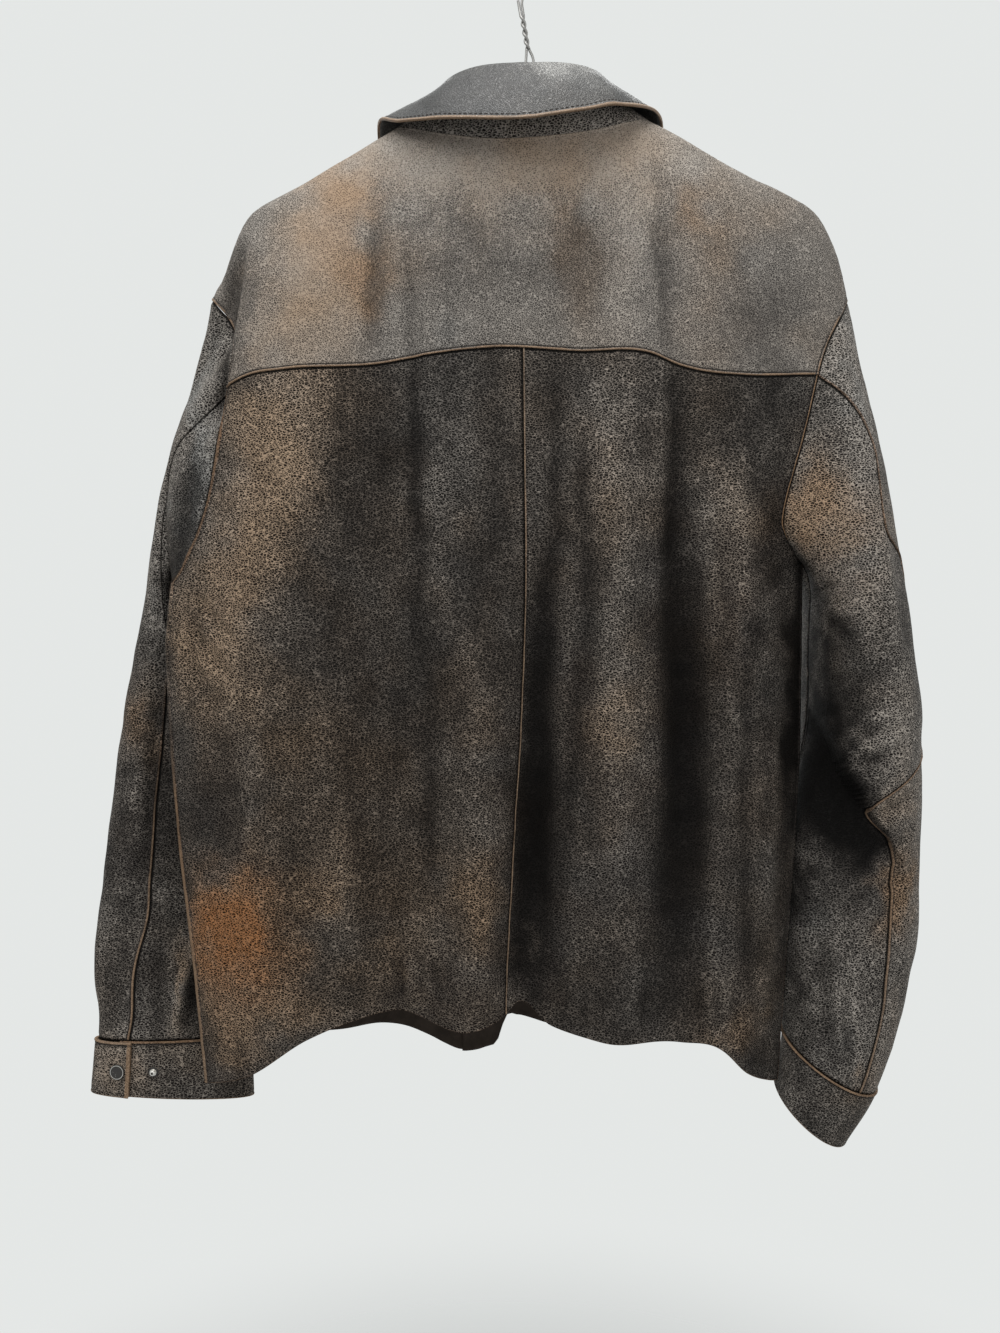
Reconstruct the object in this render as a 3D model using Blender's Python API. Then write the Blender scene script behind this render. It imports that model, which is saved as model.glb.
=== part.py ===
"""A worn leather coat with yoke, two-piece sleeves and snap cuffs, hanging on a wire hanger.

The origin is the inner top of the hanger's hook. The coat's back faces -Y and the wearer's right is +X.
Tables and sizes are in millimetres, and the meshes are made in metres.
"""
import math

import bmesh
import bpy
import numpy as np

MM = 0.001

# Driving sizes
WALL = 1.8                # leather, with its seam turnings pressed flat
SEAM_GAP = 0.3            # between two panels sewn edge to edge
BACK_DEPTH = 62.0         # how far the back stands out behind the hanger, low down
FRONT_DEPTH = 52.0        # how far the front stands out
CREST_SPREAD = 150.0      # drop below the shoulder line in which the coat gains its depth
SIDE_ROLL = 110.0         # width of the rounding next to the side seams
EDGE_BACKSET = 12.0       # the side seams lie this far behind the hanger's plane
LEFT_EDGE_BACKSET = 16.0  # more on the left, where the sleeve is tucked behind the body
SHOULDER_SEAM_DROP = 14.0  # the yoke's front edge lies this far below the shoulder line
PLACKET_LAP = 33.0        # the left front laps over the right by this much
LAP_LIFT = 3.2            # height of an upper layer over the one that it laps
CUFF_WALL = 3.0
CAP_RADIUS = 6.5
CAP_HEIGHT = 3.0
STUD_RADIUS = 1.9
FRONT_SNAPS = 6
FIRST_SNAP_Z = -290.0
SNAP_STEP = 118.0
WIRE = 2.2                # diameter of the hanger's wire
HOOK_RADIUS = 21.0
TWIST_TURNS = 2
TWIST = ((13.0, -84.0), (8.2, -56.5))  # x, z of its lower and its upper end

# The shoulder line over the hanger, and the coat's fall beyond the hanger's ends.
CREST = np.array([
    # x, z
    (-252, -298),
    (-249, -287),
    (-239, -268),
    (-229, -242),
    (-222, -227),
    (-216, -218.5),
    (-208, -212.5),
    (-198, -207),
    (-176, -195.5),
    (-152, -182),
    (-134, -172),
    (-107, -156),
    (-60, -129.5),
    (12, -88),
    (60, -114),
    (122, -148.5),
    (147, -162),
    (172, -176),
    (197, -188.5),
    (220, -199),
    (232, -204.7),
    (242, -210),
    (251, -218),
    (258, -228),
    (265, -241.5),
    (273, -264),
    (278, -287),
    (281, -298),
], float)

# Where the body's outline would run, with the sleeves off: the lines that its depth is measured from.
SIDES = np.array([
    # z, left x, right x
    (-215, -262, 292),
    (-287, -262, 290),
    (-368, -268, 282),
    (-450, -276, 262),
    (-503, -278, 241),
    (-523, -279, 241),
    (-574, -284, 241),
    (-660, -281, 241),
    (-745, -275, 238),
    (-840, -265, 232),
    (-945, -256, 226),
], float)

# The armhole seams, seen from behind. Turn 0 is under the arm and turn 0.5 is on the shoulder.
ARMHOLE = np.array([
    # turn, left x, left z, right x, right z
    (0.00, -279, -523, 241, -503),
    (0.05, -271, -513, 231, -495),
    (0.10, -264, -498, 221, -481),
    (0.15, -256, -482, 219, -464),
    (0.20, -247, -455, 225, -438),
    (0.25, -240, -418, 233, -410),
    (0.30, -235, -388, 240, -381),
    (0.35, -231, -364, 246, -355),
    (0.40, -225, -335, 254, -330),
    (0.45, -231, -309, 266, -307),
    (0.50, -249, -287, 278, -287),
], float)
YOKE_TURN = 0.35

NECK = np.array([
    # x, z of the neck seam at the back
    (-94, -152),
    (-53, -164),
    (-5, -171),
    (31, -168),
    (66, -161),
    (106, -147),
], float)
FRONT_NECK = np.array([
    # x, z of the neck seam at the front
    (-98, -158),
    (-80, -186),
    (-42, -216),
    (9, -230),
    (60, -214),
    (96, -182),
    (112, -154),
], float)
YOKE_SEAM = np.array([
    # x, z
    (-231, -364),
    (-214, -357),
    (-183, -353),
    (-102, -349),
    (-65, -342),
    (-12, -337),
    (51, -340),
    (109, -341),
    (137, -352),
    (187, -358),
    (246, -355),
], float)
NECK_POINTS = {"left": -104.0, "right": 118.0}  # x where the shoulder seams meet the neck seam
CENTRE_BACK = np.array([
    # z, x
    (-900, -7),
    (-830, -4),
    (-761, 0),
    (-656, 6),
    (-536, 10),
    (-418, 9),
    (-330, 8),
], float)
CENTRE_FRONT = np.array([
    # z, x
    (-950, -28),
    (-600, -14),
    (-225, 9),
], float)
BACK_HEM = np.array([
    # x, z
    (-256, -940),
    (-217, -927),
    (-165, -892),
    (-94, -871),
    (-36, -883),
    (-6, -873),
    (4, -865),
    (31, -880),
    (73, -892),
    (136, -894),
    (171, -903),
    (195, -927),
    (226, -945),
], float)
FRONT_HEM = np.array([
    # x, z
    (-256, -940),
    (-205, -924),
    (-147, -918),
    (-114, -918),
    (-94, -922),
    (-75, -932),
    (-61, -941),
    (-49, -946),
    (-35, -945),
    (-23, -941),
    (-12, -934),
    (-5, -913),
    (5, -911),
    (18, -914),
    (33, -919),
    (70, -918),
    (110, -919),
    (170, -926),
    (226, -945),
], float)

# The largest folds: a soft ridge or, with a negative height, a trough.
BACK_FOLDS = np.array([
    # top x, top z, bottom x, bottom z, half width, height, runs off the hem
    (138, -352, 142, -880, 17, -12, 0),
    (22, -470, 6, -875, 15, -11, 1),
    (-112, -350, -92, -872, 24, -10, 1),
    (70, -400, 84, -890, 26, 7, 1),
    (196, -400, 188, -925, 18, 7, 1),
    (-30, -560, -34, -885, 20, 8, 1),
    (-190, -400, -205, -800, 34, 5, 0),
], float)
FRONT_FOLDS = np.array([
    # top x, top z, bottom x, bottom z, half width, height, runs off the hem
    (-130, -330, -150, -918, 24, -10, 1),
    (-70, -420, -62, -925, 22, 7, 1),
    (120, -340, 110, -920, 24, -10, 1),
    (60, -450, 62, -918, 20, 7, 1),
    (180, -420, 172, -925, 18, 7, 1),
], float)

SHOULDER_FOLD = ((-213, -228), (-232, -372))  # x, z of its ends
SHOULDER_FOLD_DEPTH = 13.0

# Sections of the sleeves, from the armhole to the cuff's edge. The inner point faces the body, bow moves the
# broad sides to the right, and lean turns the section's back side to the right.
LEFT_SLEEVE = np.array([
    # along, inner x, y, z, outer x, y, z, half thickness, bow, lean
    (0.00, -279, -16, -523, -249, 0, -287, 27, 20, 0.0),
    (0.05, -284, -8, -532, -255, 2, -313, 26, 14, -0.4),
    (0.11, -284, 10, -548, -265, 5, -346, 24, 8, -0.7),
    (0.17, -281, 36, -564, -275, 8, -381, 23, 4, -0.9),
    (0.24, -274, 48, -588, -288, 10, -424, 26, 2, -0.6),
    (0.34, -260, 58, -618, -305, 14, -490, 28, 0, -0.3),
    (0.44, -245, 66, -652, -320, 16, -556, 28, 0, -0.1),
    (0.54, -232, 70, -690, -333, 17, -625, 28, 0, 0.0),
    (0.64, -225, 68, -730, -344, 16, -694, 27, 0, 0.0),
    (0.74, -223, 58, -772, -353, 14, -764, 26, 0, 0.0),
    (0.84, -226, 42, -818, -360, 10, -824, 24, 0, 0.0),
    (0.90, -229, 26, -860, -361, 6, -862, 21, 0, 0.0),
    (0.95, -229, 14, -894, -356, 2, -898, 17, 0, 0.0),
    (0.97, -228, 10, -911, -356, 0, -912, 15, 0, 0.0),
    (1.00, -226, 6, -966, -360, -2, -958, 13, 0, 0.0),
], float)
RIGHT_SLEEVE = np.array([
    # along, inner x, y, z, outer x, y, z, half thickness, bow, lean
    (0.00, 241, -12, -503, 278, 0, -287, 29, -22, 0.0),
    (0.06, 248, -10, -514, 286, 1, -320, 40, -14, 0.0),
    (0.14, 251, -7, -530, 297, 3, -372, 52, -6, 0.0),
    (0.24, 252, -2, -550, 309, 5, -432, 60, 0, 0.0),
    (0.34, 252, 0, -579, 321, 7, -498, 65, 0, 0.0),
    (0.44, 253, 2, -612, 333, 8, -568, 67, 0, 0.0),
    (0.54, 252, 6, -650, 343, 9, -636, 66, 0, 0.0),
    (0.64, 243, 16, -700, 349, 10, -702, 61, 0, 0.0),
    (0.74, 230, 26, -752, 351, 10, -764, 53, 0, 0.0),
    (0.84, 226, 24, -810, 351, 9, -816, 47, 0, 0.0),
    (0.90, 227, 17, -852, 345, 7, -852, 43, 0, -0.1),
    (0.95, 231, 6, -886, 332, 3, -902, 39, 0, -0.4),
    (0.97, 235, 0, -905, 315, 0, -953, 37, 0, -0.5),
    (1.00, 229, 0, -952, 289, 0, -999, 34, 0, -0.5),
], float)
CUFF_START = 0.97
CUFF_GAP = 1.4
ARMHOLE_GAP = 0.5
UNDERARM_OUT = 1.5        # the sleeve's corner under the arm stays this much further out
CUFF_ENDS = {"left": (0.37, 0.335), "right": (0.62, 0.54)}  # turns of the under end and the flap's end
CUFF_SNAPS = (
    # name, side, turn, lift, kind
    ("cuff_left_cap", "left", 0.365, LAP_LIFT, "cap"),
    ("cuff_left_stud", "left", 0.285, 0.0, "stud"),
    ("cuff_right_cap", "right", 0.575, LAP_LIFT, "cap"),
)

SLEEVE_SEAMS = np.array([
    # along, left back turn, left front turn, right back turn, right front turn
    (0.000, 0.350, 1.00, 0.350, 1.00),
    (0.055, 0.348, 1.00, 0.366, 1.00),
    (0.150, 0.343, 1.00, 0.358, 1.00),
    (0.200, 0.340, 1.00, 0.330, 1.00),
    (0.270, 0.333, 1.00, 0.310, 1.00),
    (0.340, 0.320, 1.00, 0.400, 1.00),
    (0.390, 0.310, 1.00, 0.445, 1.00),
    (0.450, 0.322, 1.00, 0.500, 1.00),
    (0.550, 0.333, 1.00, 0.500, 1.00),
    (0.570, 0.333, 1.00, 0.455, 1.00),
    (0.600, 0.334, 1.00, 0.360, 1.00),
    (0.620, 0.334, 1.00, 0.300, 1.00),
    (0.647, 0.334, 1.00, 0.245, 1.00),
    (0.700, 0.329, 1.00, 0.320, 1.00),
    (0.753, 0.324, 1.00, 0.336, 1.00),
    (0.825, 0.314, 1.00, 0.333, 1.00),
    (0.863, 0.322, 1.00, 0.332, 1.00),
    (0.945, 0.336, 1.00, 0.330, 1.00),
    (0.970, 0.345, 1.00, 0.330, 1.00),
], float)

# The collar: turns around the neck from the left front end, over the centre back, to the right one.
COLLAR = np.array([
    # turn, seam x, fold x, y, z, edge x, y, z
    (-1.00, 3, 4, 38, -186, -32, 62, -262),
    (-0.80, -42, -28, 34, -168, -76, 60, -236),
    (-0.62, -80, -50, 24, -145, -106, 42, -190),
    (-0.46, -101, -60, 2, -122, -111, 2, -145),
    (-0.30, -84, -50, -26, -120, -90, -34, -157),
    (-0.14, -46, -25, -40, -117, -44, -62, -167),
    (0.00, 4, 8, -43, -116, 6, -71, -171),
    (0.14, 50, 42, -40, -115, 50, -66, -163),
    (0.30, 92, 68, -26, -115, 91, -42, -148),
    (0.46, 117, 79, 2, -117, 124, 2, -141),
    (0.62, 100, 70, 24, -142, 122, 42, -186),
    (0.80, 62, 46, 34, -166, 96, 60, -236),
    (1.00, 15, 14, 38, -186, 50, 62, -262),
], float)
COLLAR_GAP = 1.2
ROLL = 4.0                # rounding of the collar's fold

# The hanger, in its own plane
APEX = (12.0, -94.0)
LEFT_END = (-201.0, -213.8)
RIGHT_END = (229.0, -209.6)
BAR_DROP = 17.0           # from the shoulder's end down to the bar
CORNER = 7.0


# How finely the panels are divided. Panels that are sewn together share their divisions.
FRONT_ROWS = 2            # of the yoke, in front of the shoulder line
YOKE_ROWS = 8             # of the yoke, behind it
ARM_ROWS_BACK = 6
ARM_ROWS_FRONT = 8
SIDE_ROWS = 10
HALF_COLUMNS = 12
SHOULDER_COLUMNS = 6
NECK_COLUMNS = 6
SLEEVE_ROWS = 15


# --------------------------------------------------------------------------- curves and fields
def through(at, knots, values):
    """A smooth curve through a table's rows, read at the given places."""
    at = np.asarray(at, float)
    slope = np.gradient(values, knots)
    i = np.clip(np.searchsorted(knots, at) - 1, 0, len(knots) - 2)
    step = knots[i + 1] - knots[i]
    s = np.clip((at - knots[i]) / step, 0, 1)
    rise = s * s * (3 - 2 * s)
    ends = values[i] * (1 - rise) + values[i + 1] * rise
    return ends + step * (slope[i] * s * (1 - s) ** 2 - slope[i + 1] * s * s * (1 - s))


def smooth(s):
    s = np.clip(s, 0, 1)
    return s * s * (3 - 2 * s)


def crest(x):
    return through(x, CREST[:, 0], CREST[:, 1])


def side_line(z, column):
    return np.interp(z, SIDES[::-1, 0], SIDES[::-1, column])


def fold_relief(folds, x, z):
    """The summed height of the folds at a place."""
    total = np.zeros(np.broadcast(x, z).shape)
    for top_x, top_z, low_x, low_z, half, height, open_end in folds:
        along = (top_z - z) / (top_z - low_z)
        middle = top_x + (low_x - top_x) * along
        fade = smooth(along / 0.35)
        if not open_end:
            fade = fade * smooth((1 - along) / 0.35)
        total += height * fade * np.exp(-(((x - middle) / half) ** 2))
    return total


def side_factor(x, z, roll, power):
    """0 on the side lines, 1 in the middle."""
    left = x - side_line(z, 1)
    right = side_line(z, 2) - x
    inside = np.clip(np.minimum(left, right) / roll, 0, 1)
    return (1 - (1 - inside) ** 2) ** power


def edge_backset(x, drop, z):
    tuck = LEFT_EDGE_BACKSET * smooth((-x - 60) / 160) * smooth((-z - 430) / 120)
    return (EDGE_BACKSET + tuck) * np.clip(drop / 60, 0, 1)


def back_y(x, z):
    drop = np.maximum(crest(x) - z, 0)
    swell = BACK_DEPTH * np.sqrt(drop / (drop + CREST_SPREAD))
    edge = edge_backset(x, drop, z)
    factor = side_factor(x, z, SIDE_ROLL, 0.75)
    flat = -(edge + (swell - edge) * factor) - fold_relief(BACK_FOLDS, x, z) * factor
    return flat + shoulder_fold(x, z)


def shoulder_fold(x, z):
    """Beside the left armhole the panel folds back sharply, and the strip outside the fold lies deeper."""
    along = (SHOULDER_FOLD[0][1] - z) / (SHOULDER_FOLD[0][1] - SHOULDER_FOLD[1][1])
    line = SHOULDER_FOLD[0][0] + (SHOULDER_FOLD[1][0] - SHOULDER_FOLD[0][0]) * along
    fade = smooth(along / 0.5) * smooth((1.25 - along) / 0.25)
    fade = fade * smooth((crest(x) - z) / 45)
    return SHOULDER_FOLD_DEPTH * fade * smooth((line - x) / 8 + 0.5)


def front_y(x, z):
    drop = np.maximum(crest(x) - z, 0)
    swell = FRONT_DEPTH * np.sqrt(drop / (drop + CREST_SPREAD))
    edge = edge_backset(x, drop, z)
    factor = side_factor(x, z, 1.4 * SIDE_ROLL, 1.0)
    return -edge + (swell + edge) * factor + fold_relief(FRONT_FOLDS, x, z) * factor


def on_body(x, m):
    """A body point from x and m, whose square is the drop below the shoulder line. The front has m < 0."""
    z = crest(x) - m * m
    return np.stack([x, np.where(m < 0, front_y(x, z), back_y(x, z)), z], axis=-1)


def patch(top, bottom, left, right):
    """A grid between four edges, each an array of points (a Coons patch)."""
    u = np.linspace(0, 1, len(top))[None, :, None]
    v = np.linspace(0, 1, len(left))[:, None, None]
    corners = (
        (1 - u) * (1 - v) * top[0]
        + u * (1 - v) * top[-1]
        + (1 - u) * v * bottom[0]
        + u * v * bottom[-1]
    )
    across = (1 - v) * top[None] + v * bottom[None]
    down = (1 - u) * left[:, None] + u * right[:, None]
    return across + down - corners


def edged(top, bottom, left, right):
    """A grid between two rows whose first and last columns follow two edges, and whose middle ignores them."""
    u = np.linspace(0, 1, len(top))[None, :, None]
    v = np.linspace(0, 1, len(left))[:, None, None]
    across = (1 - v) * top[None] + v * bottom[None]
    at_left = (left[:, None] - across[:, :1]) * (1 - u) ** 4
    at_right = (right[:, None] - across[:, -1:]) * u ** 4
    return across + at_left + at_right


def resample(points, count):
    """The same run of points, evenly spaced along it."""
    steps = np.linalg.norm(np.diff(points, axis=0), axis=1)
    length = np.concatenate([[0], np.cumsum(steps)])
    at = length[-1] * np.linspace(0, 1, count)
    return np.stack([np.interp(at, length, points[:, k]) for k in range(points.shape[1])], axis=1)


# --------------------------------------------------------------------------- making walls
def inset(grid, gaps):
    """Moves a grid's first and last rows, then first and last columns, inwards by the gaps, square to the edge."""
    moved = grid.copy()
    normals = normals_of(grid)
    for axis, (first, last) in enumerate((gaps[:2], gaps[2:])):
        rows = grid if axis == 0 else grid.swapaxes(0, 1)
        facing = normals if axis == 0 else normals.swapaxes(0, 1)
        result = moved if axis == 0 else moved.swapaxes(0, 1)
        for edge, inner, gap in ((0, 1, first), (-1, -2, last)):
            way = np.cross(facing[edge], np.gradient(rows[edge], axis=0))
            way = way / np.linalg.norm(way, axis=-1, keepdims=True)
            result[edge] += gap * way * np.sign(np.sum(way * (rows[inner] - rows[edge])))
    return moved


def normals_of(grid):
    down = np.gradient(grid, axis=0)
    across = np.gradient(grid, axis=1)
    normal = np.cross(down, across)
    return normal / np.maximum(np.linalg.norm(normal, axis=-1, keepdims=True), 1e-9)


def edge_indices(rows, cols):
    index = np.arange(rows * cols).reshape(rows, cols)
    return np.concatenate([index[0, :], index[1:, -1], index[-1, -2::-1], index[-2:0:-1, 0]])


def shared_normals(sheets, reach=1.0):
    """Along sewn edges each panel's normals are averaged with its neighbours', so that walls meet face to face."""
    normals = {name: normals_of(grid).reshape(-1, 3) for name, (grid, _, _) in sheets.items()}
    rims = {name: edge_indices(*grid.shape[:2]) for name, (grid, _, _) in sheets.items()}
    points = {name: grid.reshape(-1, 3)[rims[name]] for name, (grid, _, _) in sheets.items()}
    before = {name: normals[name][rims[name]].copy() for name in sheets}
    for name in sheets:
        total = before[name].copy()
        for other in sheets:
            if other == name:
                continue
            apart = np.linalg.norm(points[name][:, None] - points[other][None], axis=-1)
            nearest = apart.argmin(axis=1)
            weight = np.where(apart.min(axis=1) < reach, 1.0, 0.0)
            total += weight[:, None] * before[other][nearest]
        normals[name][rims[name]] = total / np.linalg.norm(total, axis=-1, keepdims=True)
    return normals


def wall(name, grid, normal, look, thick):
    """A closed wall around a grid of points."""
    rows, cols = grid.shape[:2]
    flat = grid.reshape(-1, 3)
    points = np.concatenate([flat + normal * thick / 2, flat - normal * thick / 2]) * MM
    index = np.arange(rows * cols).reshape(rows, cols)
    a, b = index[:-1, :-1].ravel(), index[:-1, 1:].ravel()
    c, d = index[1:, 1:].ravel(), index[1:, :-1].ravel()
    under = rows * cols
    faces = list(zip(a, d, c, b)) + list(zip(a + under, b + under, c + under, d + under))
    rim = edge_indices(rows, cols)
    after = np.roll(rim, -1)
    faces += list(zip(rim, after, after + under, rim + under))
    return mesh_object(name, points, faces, look)


def mesh_object(name, points, faces, look):
    mesh = bpy.data.meshes.new(name)
    mesh.from_pydata([tuple(p) for p in points], [], [tuple(int(k) for k in f) for f in faces])
    work = bmesh.new()
    work.from_mesh(mesh)
    bmesh.ops.triangulate(work, faces=work.faces)
    work.to_mesh(mesh)
    work.free()
    mesh.shade_smooth()
    mesh.set_sharp_from_angle(angle=math.radians(50))
    mesh.materials.append(look)
    made = bpy.data.objects.new(name, mesh)
    bpy.context.scene.collection.objects.link(made)
    return made


def material(name, colour, roughness, metallic=0.0):
    made = bpy.data.materials.new(name)
    made.use_nodes = True
    shader = made.node_tree.nodes["Principled BSDF"]
    shader.inputs["Base Color"].default_value = (*colour, 1)
    shader.inputs["Roughness"].default_value = roughness
    shader.inputs["Metallic"].default_value = metallic
    return made


# --------------------------------------------------------------------------- the body
def armhole_xz(turn, side):
    column = 1 if side == "left" else 3
    folded = 0.5 - np.abs(np.asarray(turn, float) - 0.5)
    return [through(folded, ARMHOLE[:, 0], ARMHOLE[:, column + k]) for k in (0, 1)]


def armhole(turn, side):
    turn = np.asarray(turn, float)
    x, z = armhole_xz(turn, side)
    return np.stack([x, np.where(turn > 0.5, front_y(x, z), back_y(x, z)), z], axis=-1)


def front_turn(side):
    """The turn at which the armhole meets the shoulder seam on the front."""
    turns = np.linspace(0.5, 0.62, 60)
    x, z = armhole_xz(turns, side)
    return float(np.interp(SHOULDER_SEAM_DROP, np.maximum.accumulate(crest(x) - z), turns))


def body_turns(side):
    """The armhole's turns at the rows of the yoke, of the back and of a front, which the sleeve's columns share."""
    first = front_turn(side)
    return (
        np.concatenate([np.linspace(first, 0.5, FRONT_ROWS + 1), np.linspace(0.5, YOKE_TURN, YOKE_ROWS + 1)[1:]]),
        np.linspace(YOKE_TURN, 0, ARM_ROWS_BACK + 1),
        np.linspace(first, 1, ARM_ROWS_FRONT + 1),
    )


def outer_edge(side, turns, hem_z):
    """x, z down the armhole and then down the side seam to the hem."""
    x, z = armhole_xz(turns, side)
    low = np.linspace(z[-1], hem_z, SIDE_ROWS + 1)[1:]
    column = 1 if side == "left" else 2
    return np.stack([np.concatenate([x, side_line(low, column)]), np.concatenate([z, low])], axis=1)


def line_between(table, first, last, count):
    """x, z along a table of x and z, from one x to another."""
    x = np.linspace(first, last, count)
    return np.stack([x, through(x, table[:, 0], table[:, 1])], axis=1)


def down_line(table, top_z, low_z, count):
    """x, z along a table of z and x, from one height down to another."""
    z = np.linspace(top_z, low_z, count)
    return np.stack([through(z, table[:, 0], table[:, 1]), z], axis=1)


def with_m(run):
    """x, z on the front turned into x, m."""
    return np.stack([run[:, 0], -np.sqrt(np.maximum(crest(run[:, 0]) - run[:, 1], 0))], axis=1)


def back_grid(side):
    cols = HALF_COLUMNS + 1
    seam_x = through(-338.0, CENTRE_BACK[:, 0], CENTRE_BACK[:, 1])
    hem_x = through(-872.0, CENTRE_BACK[:, 0], CENTRE_BACK[:, 1])
    top_z = through(seam_x, YOKE_SEAM[:, 0], YOKE_SEAM[:, 1])
    low_z = through(hem_x, BACK_HEM[:, 0], BACK_HEM[:, 1])
    corner = 0 if side == "left" else -1
    outer = outer_edge(side, body_turns(side)[1], BACK_HEM[corner, 1])
    middle = down_line(CENTRE_BACK, top_z, low_z, len(outer))
    top = line_between(YOKE_SEAM, YOKE_SEAM[corner, 0], seam_x, cols)
    bottom = line_between(BACK_HEM, BACK_HEM[corner, 0], hem_x, cols)
    flat = patch(top, bottom, outer, middle)
    if side == "right":
        flat = flat[:, ::-1]
    x, z = flat[..., 0], flat[..., 1]
    return np.stack([x, back_y(x, z), z], axis=-1)


def scaled_resample(points, count):
    """Evenly spaced in x and m, with m stretched so that both count alike."""
    stretch = np.array([1.0, 12.0])
    return resample(np.asarray(points, float) * stretch, count) / stretch


def shoulder_run(side):
    """x, m along the shoulder seam, from the armhole to the neck."""
    seam_m = -math.sqrt(SHOULDER_SEAM_DROP)
    first = armhole_xz(front_turn(side), side)[0]
    neck_x = NECK_POINTS[side]
    x = np.linspace(first, neck_x, SHOULDER_COLUMNS + 1)
    return np.stack([x, np.full(len(x), seam_m)], axis=1)


def yoke_grid():
    seam_x = through(-338.0, CENTRE_BACK[:, 0], CENTRE_BACK[:, 1])
    left_run, right_run = shoulder_run("left"), shoulder_run("right")
    neck_x = np.linspace(NECK[0, 0], NECK[-1, 0], 60)
    neck_m = np.sqrt(np.maximum(crest(neck_x) - through(neck_x, NECK[:, 0], NECK[:, 1]), 0))
    neck = [left_run[-1], (left_run[-1][0] + 3, 0)]
    neck += list(zip(neck_x, neck_m))
    neck += [(right_run[-1][0] - 3, 0), right_run[-1]]
    neck = scaled_resample(neck, 2 * HALF_COLUMNS - 2 * SHOULDER_COLUMNS + 1)
    top = np.concatenate([left_run, neck[1:-1], right_run[::-1]])
    left = line_between(YOKE_SEAM, YOKE_SEAM[0, 0], seam_x, HALF_COLUMNS + 1)
    right = line_between(YOKE_SEAM, seam_x, YOKE_SEAM[-1, 0], HALF_COLUMNS + 1)
    seam = np.concatenate([left, right[1:]])
    bottom = with_m(seam) * np.array([1, -1])
    share = FRONT_ROWS / (FRONT_ROWS + YOKE_ROWS)
    ridge = top + (bottom - top) * share
    ridge[:, 1] = np.maximum(ridge[:, 1], 0)
    left, right = side_m("left"), side_m("right")
    before = edged(top, ridge, left[:FRONT_ROWS + 1], right[:FRONT_ROWS + 1])
    behind = edged(ridge, bottom, left[FRONT_ROWS:], right[FRONT_ROWS:])
    flat = np.concatenate([before, behind[1:]])
    return on_body(flat[..., 0], flat[..., 1])


def side_m(side):
    """x, m down the yoke's armhole edge, from the front shoulder seam over the shoulder to the yoke seam."""
    turns = body_turns(side)[0]
    x, z = armhole_xz(turns, side)
    m = np.sqrt(np.maximum(crest(x) - z, 0)) * np.where(turns > 0.5, -1, 1)
    return np.stack([x, m], axis=1)


def front_grid(side):
    """A front, from the shoulder and neck seams to the hem, made in x and m."""
    corner = 0 if side == "left" else -1
    reach = PLACKET_LAP / 2 if side == "left" else -PLACKET_LAP / 2
    neck_x = CENTRE_FRONT[-1, 1] + reach
    low_x = CENTRE_FRONT[0, 1] + reach
    hem_corner = FRONT_HEM[corner]
    shoulder = shoulder_run(side)
    neck_xz = line_between(FRONT_NECK, FRONT_NECK[corner, 0], neck_x, 40)
    end_z = neck_xz[-1, 1]
    neck = scaled_resample(np.concatenate([shoulder[-1:], with_m(neck_xz)]), NECK_COLUMNS + 1)
    top = np.concatenate([shoulder, neck[1:]])
    outer = with_m(outer_edge(side, body_turns(side)[2], hem_corner[1]))
    hem = line_between(FRONT_HEM, hem_corner[0], low_x, len(top))
    z = np.linspace(end_z, hem[-1, 1], len(outer))
    middle_x = through(z, CENTRE_FRONT[:, 0], CENTRE_FRONT[:, 1]) + reach
    middle_x += (neck_x - middle_x[0]) * np.linspace(1, 0, len(z)) ** 3
    flat = patch(top, with_m(hem), outer, with_m(np.stack([middle_x, z], axis=1)))
    grid = on_body(flat[..., 0], np.minimum(flat[..., 1], -0.01))
    if side == "left":
        reached = smooth((flat[..., 0] - (middle_x[:, None] - 2 * PLACKET_LAP)) / PLACKET_LAP)
        grid[..., 1] += LAP_LIFT * reached
        grid = grid[:, ::-1]
    return grid


# --------------------------------------------------------------------------- sleeves and cuffs
def sleeve_ring(table, along, turn):
    """Points of the sleeve's sections, before the armhole's own curve is added."""
    along, turn = np.broadcast_arrays(np.asarray(along, float), np.asarray(turn, float))
    read = [through(along, table[:, 0], table[:, k]) for k in range(1, 10)]
    inner = np.stack(read[0:3], axis=-1)
    outer = np.stack(read[3:6], axis=-1)
    half, bow = read[6][..., None], read[7][..., None]
    reach = (inner - outer) / 2
    way = reach / np.linalg.norm(reach, axis=-1, keepdims=True)
    back = np.stack([read[8], -np.ones(read[8].shape), np.zeros(read[8].shape)], axis=-1)
    back = back - way * np.sum(way * back, axis=-1, keepdims=True)
    back = back / np.linalg.norm(back, axis=-1, keepdims=True)
    angle = 2 * math.pi * turn[..., None]
    middle = (inner + outer) / 2
    swell = bow * np.sin(angle) ** 2 * np.array([1.0, 0.0, 0.0])
    return middle + reach * np.cos(angle) + half * back * np.sin(angle) + swell


def sleeve_points(side, along, turn):
    table = LEFT_SLEEVE if side == "left" else RIGHT_SLEEVE
    along, turn = np.broadcast_arrays(np.asarray(along, float), np.asarray(turn, float))
    around = np.mod(turn, 1.0)
    fix = armhole(around, side) - sleeve_ring(table, 0.0, around)
    fade = 1 - smooth(along / 0.2)
    return sleeve_ring(table, along, around) + fix * fade[..., None]


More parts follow.
